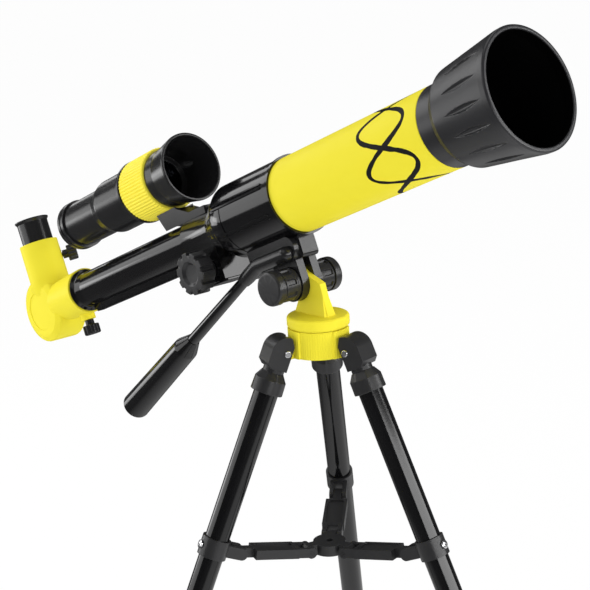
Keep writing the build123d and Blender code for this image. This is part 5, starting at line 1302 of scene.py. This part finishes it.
@dataclass
class Finder:
    """Finder scope over the focuser."""

    height: float = 41.9
    wall: float = 1.6
    rim_s: float = -95.0
    rim_radius: float = 21.1
    flare_s: float = -112.0
    bell_radius: float = 18.3
    band_front: float = -120.0
    band_rear: float = -147.0
    band_radius: float = 20.2
    core_radius: float = 17.4
    ribs: int = 60
    rib_columns: int = 10
    rib_height: float = 0.65
    rib_fade: float = 0.9
    flange_radius: float = 20.3
    flange_width: float = 2.8
    body_radius: float = 17.6
    step_s: float = -181.0
    step_length: float = 8.0
    tail_radius: float = 15.0
    tail_end: float = -224.0
    eyecup_radius: float = 16.3
    eyecup_end: float = -232.0
    eyecup_bore: float = 10.0
    eyecup_groove: float = 1.0
    eyecup_edge: float = 1.2
    baffle_s: float = -124.0
    baffle_radius: float = 12.6

    def band_grid(self) -> np.ndarray:
        """Ribbed band: a turned ring whose outside carries even ribs lengthwise.

        A rib's height is the root of half of one plus cos(n a), so ribs are round and grooves tight.

        Returns:
            The grid of points along the finder's axis.
        """
        front = self.band_front - GAP
        rear = self.band_rear + GAP
        root = self.band_radius - self.rib_height
        full_front = front - self.rib_fade
        full_rear = rear + self.rib_fade
        corners = [
            (front, self.core_radius + FIT), (front, root), (full_front, root), (full_rear, root),
            (rear, root), (rear, self.core_radius + FIT),
        ]
        profile = rounded(corners, [0.1, 0.4, 0, 0, 0.4, 0.1])
        angles = ring(self.ribs * self.rib_columns)
        rib = np.sqrt(0.5 + 0.5 * np.cos(self.ribs * angles))
        margin = 0.3
        outside = profile[:, 1] > root - margin
        along = profile[:, 0]
        ends = smoothstep(front, full_front, along) * smoothstep(rear, full_rear, along)
        return turned(profile, angles, self.rib_height * rib * (outside * ends)[:, None])

    def build(self, shop: Workshop) -> None:
        """Make the finder's turned pieces and soften its bracket."""
        axis = TUBE.inner((0, 0, self.height), (0, 0, 1), (1, 0, 0))
        seat = self.core_radius - self.wall
        baffle_rear = self.baffle_s - self.wall
        shop.soften("finder_bracket", SATIN_BLACK, bevel=0.6)
        shop.lathe(
            "finder_bell",
            [
                (self.rim_s, self.rim_radius), (self.rim_s - self.wall, self.rim_radius),
                (self.flare_s, self.bell_radius), (self.band_front, self.bell_radius),
                (self.band_front, self.core_radius), (self.band_rear, self.core_radius),
                (self.band_rear, seat), (baffle_rear, seat), (baffle_rear, self.baffle_radius),
                (self.baffle_s, self.baffle_radius), (self.baffle_s, seat), (self.flare_s, seat),
                (self.rim_s, self.rim_radius - self.wall),
            ],
            axis, SATIN_BLACK,
            rounding=[0.5, 0.5, 6.0, 0.3, 0.1, 0.1, 0.1, 0.1, 0.2, 0.2, 0.2, 4.0, 0.5],
        )
        shop.surface("band", "finder_ring", self.band_grid(), axis, RIBBED_YELLOW)
        flange_end = self.band_rear - self.flange_width
        tail_bore = self.tail_radius - self.wall
        shop.lathe(
            "finder_body",
            [
                (self.band_rear - FIT, tail_bore), (self.band_rear - FIT, self.flange_radius),
                (flange_end, self.flange_radius), (flange_end, self.body_radius),
                (self.step_s, self.body_radius), (self.step_s - self.step_length, self.tail_radius),
                (self.tail_end, self.tail_radius), (self.tail_end, tail_bore),
            ],
            axis, SATIN_BLACK, rounding=[0.2, 0.6, 0.6, 0.4, 4.5, 4.5, 0.3, 0.2],
        )
        front = self.tail_end - FIT
        middle = (front + self.eyecup_end) / 2
        groove_front = middle + self.eyecup_groove
        groove_floor = self.eyecup_radius - self.eyecup_groove
        shop.lathe(
            "finder_eyecup",
            [
                (front, self.eyecup_bore), (front, self.eyecup_radius), (groove_front, self.eyecup_radius),
                (groove_front, groove_floor), (middle, groove_floor), (middle, self.eyecup_radius),
                (self.eyecup_end + self.eyecup_edge, self.eyecup_radius),
                (self.eyecup_end, self.eyecup_radius - self.eyecup_edge),
                (self.eyecup_end, self.eyecup_bore),
            ],
            axis, SATIN_BLACK, rounding=[0.2, 0.4, 0.3, 0.1, 0.1, 0.3, 0.8, 0.8, 0.5],
        )
        shop.dress("finder_objective", GLASS)
        shop.dress("finder_eye_lens", GLASS)


@dataclass(frozen=True)
class SoftBox:
    """A soft lamp that faces the middle of the telescope.

    Azimuth is degrees from +X about the tripod axis, elevation degrees above level, distance, width
    and height metres, and power watts.
    """

    name: str
    azimuth: float
    elevation: float
    distance: float
    width: float
    height: float
    power: float

    def hang(self, middle: Vector) -> None:
        """Add the lamp to the scene, turned to the middle."""
        around, above = radians(self.azimuth), radians(self.elevation)
        towards = Vector((cos(around) * cos(above), sin(around) * cos(above), sin(above)))
        light = bpy.data.lights.new(self.name, "AREA")
        light.shape = "RECTANGLE"
        light.size = self.width
        light.size_y = self.height
        light.energy = self.power
        box = bpy.data.objects.new(self.name, light)
        box.location = middle + towards * self.distance
        box.rotation_euler = towards.to_track_quat("Z", "Y").to_euler()
        bpy.context.scene.collection.objects.link(box)


SOFT_BOXES = (
    SoftBox("key_box", -95.0, 45.0, 1.5, 1.2, 1.0, 2.4),
    SoftBox("left_box", -138.0, 1.5, 1.05, 1.10, 0.40, 2.5),
    SoftBox("low_box", -163.0, -8.0, 1.05, 0.36, 0.20, 0.6),
    SoftBox("hood_box", -157.0, 28.0, 1.2, 0.95, 0.46, 3.2),
    SoftBox("front_box", 8.0, 6.0, 1.4, 2.4, 0.36, 14.0),
    SoftBox("rim_box", 39.0, 21.0, 1.4, 0.42, 0.34, 2.4),
    SoftBox("top_box", 140.0, 75.0, 1.5, 1.2, 1.2, 5.0),
    SoftBox("rear_strip", 164.0, 14.0, 1.2, 0.20, 0.45, 0.4),
)


@dataclass
class Studio:
    """Floor, soft lamps and the camera at the photograph's view.

    The camera's place is in millimetres, and the other lengths are in metres.
    """

    camera_at: Triple = (575.7, -533.7, 533.95)
    heading: float = 138.055
    pitch: float = -14.16
    roll: float = -3.14
    focal_px: float = 1457.39
    clip: tuple[float, float] = (0.05, 200.0)
    middle_height: float = 0.36
    floor_size: float = 60.0
    floor_grey: float = 0.93
    floor_shown: float = 0.96
    floor_bright_at: Triple = (0.40, 0.12, 0.0)
    floor_fades: tuple[float, float] = (0.42, 0.75)
    floor_mirrored: tuple[float, float] = (0.85, 0.08)
    surround: float = 0.60
    surround_mirrored: float = 0.06
    surround_seen: float = 1.0

    def camera(self) -> None:
        """Stand the camera by its heading, pitch and roll, with the lens that its focal length gives."""
        heading, pitch, roll = radians(self.heading), radians(self.pitch), radians(self.roll)
        ahead = Vector((cos(heading) * cos(pitch), sin(heading) * cos(pitch), sin(pitch)))
        right = ahead.cross(Vector((0, 0, 1))).normalized()
        up = right.cross(ahead)
        turned_right = right * cos(roll) + up * sin(roll)
        turned_up = up * cos(roll) - right * sin(roll)
        lens = bpy.data.cameras.new("camera")
        lens.sensor_width = SENSOR_WIDTH
        lens.lens = self.focal_px / IMAGE_WIDTH * SENSOR_WIDTH
        lens.clip_start, lens.clip_end = self.clip
        stand = bpy.data.objects.new("camera", lens)
        place = Matrix((turned_right, turned_up, -ahead)).transposed().to_4x4()
        place.translation = Vector(np.array(self.camera_at) * MM + AXIS_SHIFT)
        stand.matrix_world = place
        bpy.context.scene.collection.objects.link(stand)
        bpy.context.scene.camera = stand

    def floor(self) -> None:
        """A wide floor, white to the camera but for a faint shadow, whose mirrored light fades away."""
        half = self.floor_size / 2
        mesh = bpy.data.meshes.new("floor")
        corners = [(-half, -half, 0), (half, -half, 0), (half, half, 0), (-half, half, 0)]
        mesh.from_pydata(corners, [], [(0, 1, 2, 3)])
        plane = bpy.data.objects.new("floor", mesh)
        bpy.context.scene.collection.objects.link(plane)
        paint = bpy.data.materials.new("floor_white")
        paint.use_nodes = True
        bench = NodeBench(paint.node_tree)
        for node in list(paint.node_tree.nodes):
            paint.node_tree.nodes.remove(node)
        seen = bench.add("ShaderNodeLightPath").outputs
        shown = bench.math("MAXIMUM", seen["Is Camera Ray"], seen["Is Glossy Ray"])
        share = bench.math("MULTIPLY", shown, self.floor_shown)
        place = bench.add("ShaderNodeTexCoord").outputs["Object"]
        away = bench.add("ShaderNodeVectorMath", Vector=place)
        away.operation = "DISTANCE"
        away.inputs[1].default_value = self.floor_bright_at
        near, far = self.floor_fades
        bright, dim = self.floor_mirrored
        mirrored = bench.add(
            "ShaderNodeMapRange", Value=away.outputs["Value"], From_Min=near, From_Max=far,
            To_Min=bright, To_Max=dim,
        )
        level = bench.add(
            "ShaderNodeMapRange", Value=seen["Is Glossy Ray"], To_Min=1.0, To_Max=mirrored.outputs["Result"]
        )
        grey = self.floor_grey
        matt = bench.add("ShaderNodeBsdfDiffuse", Color=(grey, grey, grey, 1.0))
        white = bench.add("ShaderNodeEmission", Color=WHITE, Strength=level.outputs["Result"])
        mix = bench.add("ShaderNodeMixShader")
        bench.feed(mix.inputs[0], share)
        bench.feed(mix.inputs[1], matt.outputs[0])
        bench.feed(mix.inputs[2], white.outputs[0])
        out = bench.add("ShaderNodeOutputMaterial")
        bench.feed(out.inputs["Surface"], mix.outputs[0])
        mesh.materials.append(paint)

    def build(self) -> None:
        """Set up view, floor, lamps and the pale surround."""
        scene = bpy.context.scene
        scene.view_settings.view_transform = "Standard"
        world = bpy.data.worlds.new("surround")
        scene.world = world
        world.use_nodes = True
        bench = NodeBench(world.node_tree)
        seen = bench.add("ShaderNodeLightPath").outputs
        lit = bench.add(
            "ShaderNodeMapRange", Value=seen["Is Glossy Ray"],
            To_Min=self.surround, To_Max=self.surround_mirrored,
        )
        level = bench.add(
            "ShaderNodeMapRange", Value=seen["Is Camera Ray"],
            To_Min=lit.outputs["Result"], To_Max=self.surround_seen,
        )
        backdrop = world.node_tree.nodes["Background"]
        backdrop.inputs["Color"].default_value = WHITE
        bench.feed(backdrop.inputs["Strength"], level.outputs["Result"])
        self.camera()
        self.floor()
        middle = Vector(AXIS_SHIFT) + Vector((0, 0, self.middle_height))
        for box in SOFT_BOXES:
            box.hang(middle)


def main() -> None:
    logging.basicConfig(level=logging.INFO, format="%(message)s")
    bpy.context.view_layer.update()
    shop = Workshop()
    Tripod().build(shop)
    Head().build(shop)
    Barrel().build(shop)
    Focuser().build(shop)
    Diagonal().build(shop)
    Finder().build(shop)
    Studio().build()


if __name__ == "__main__":
    main()
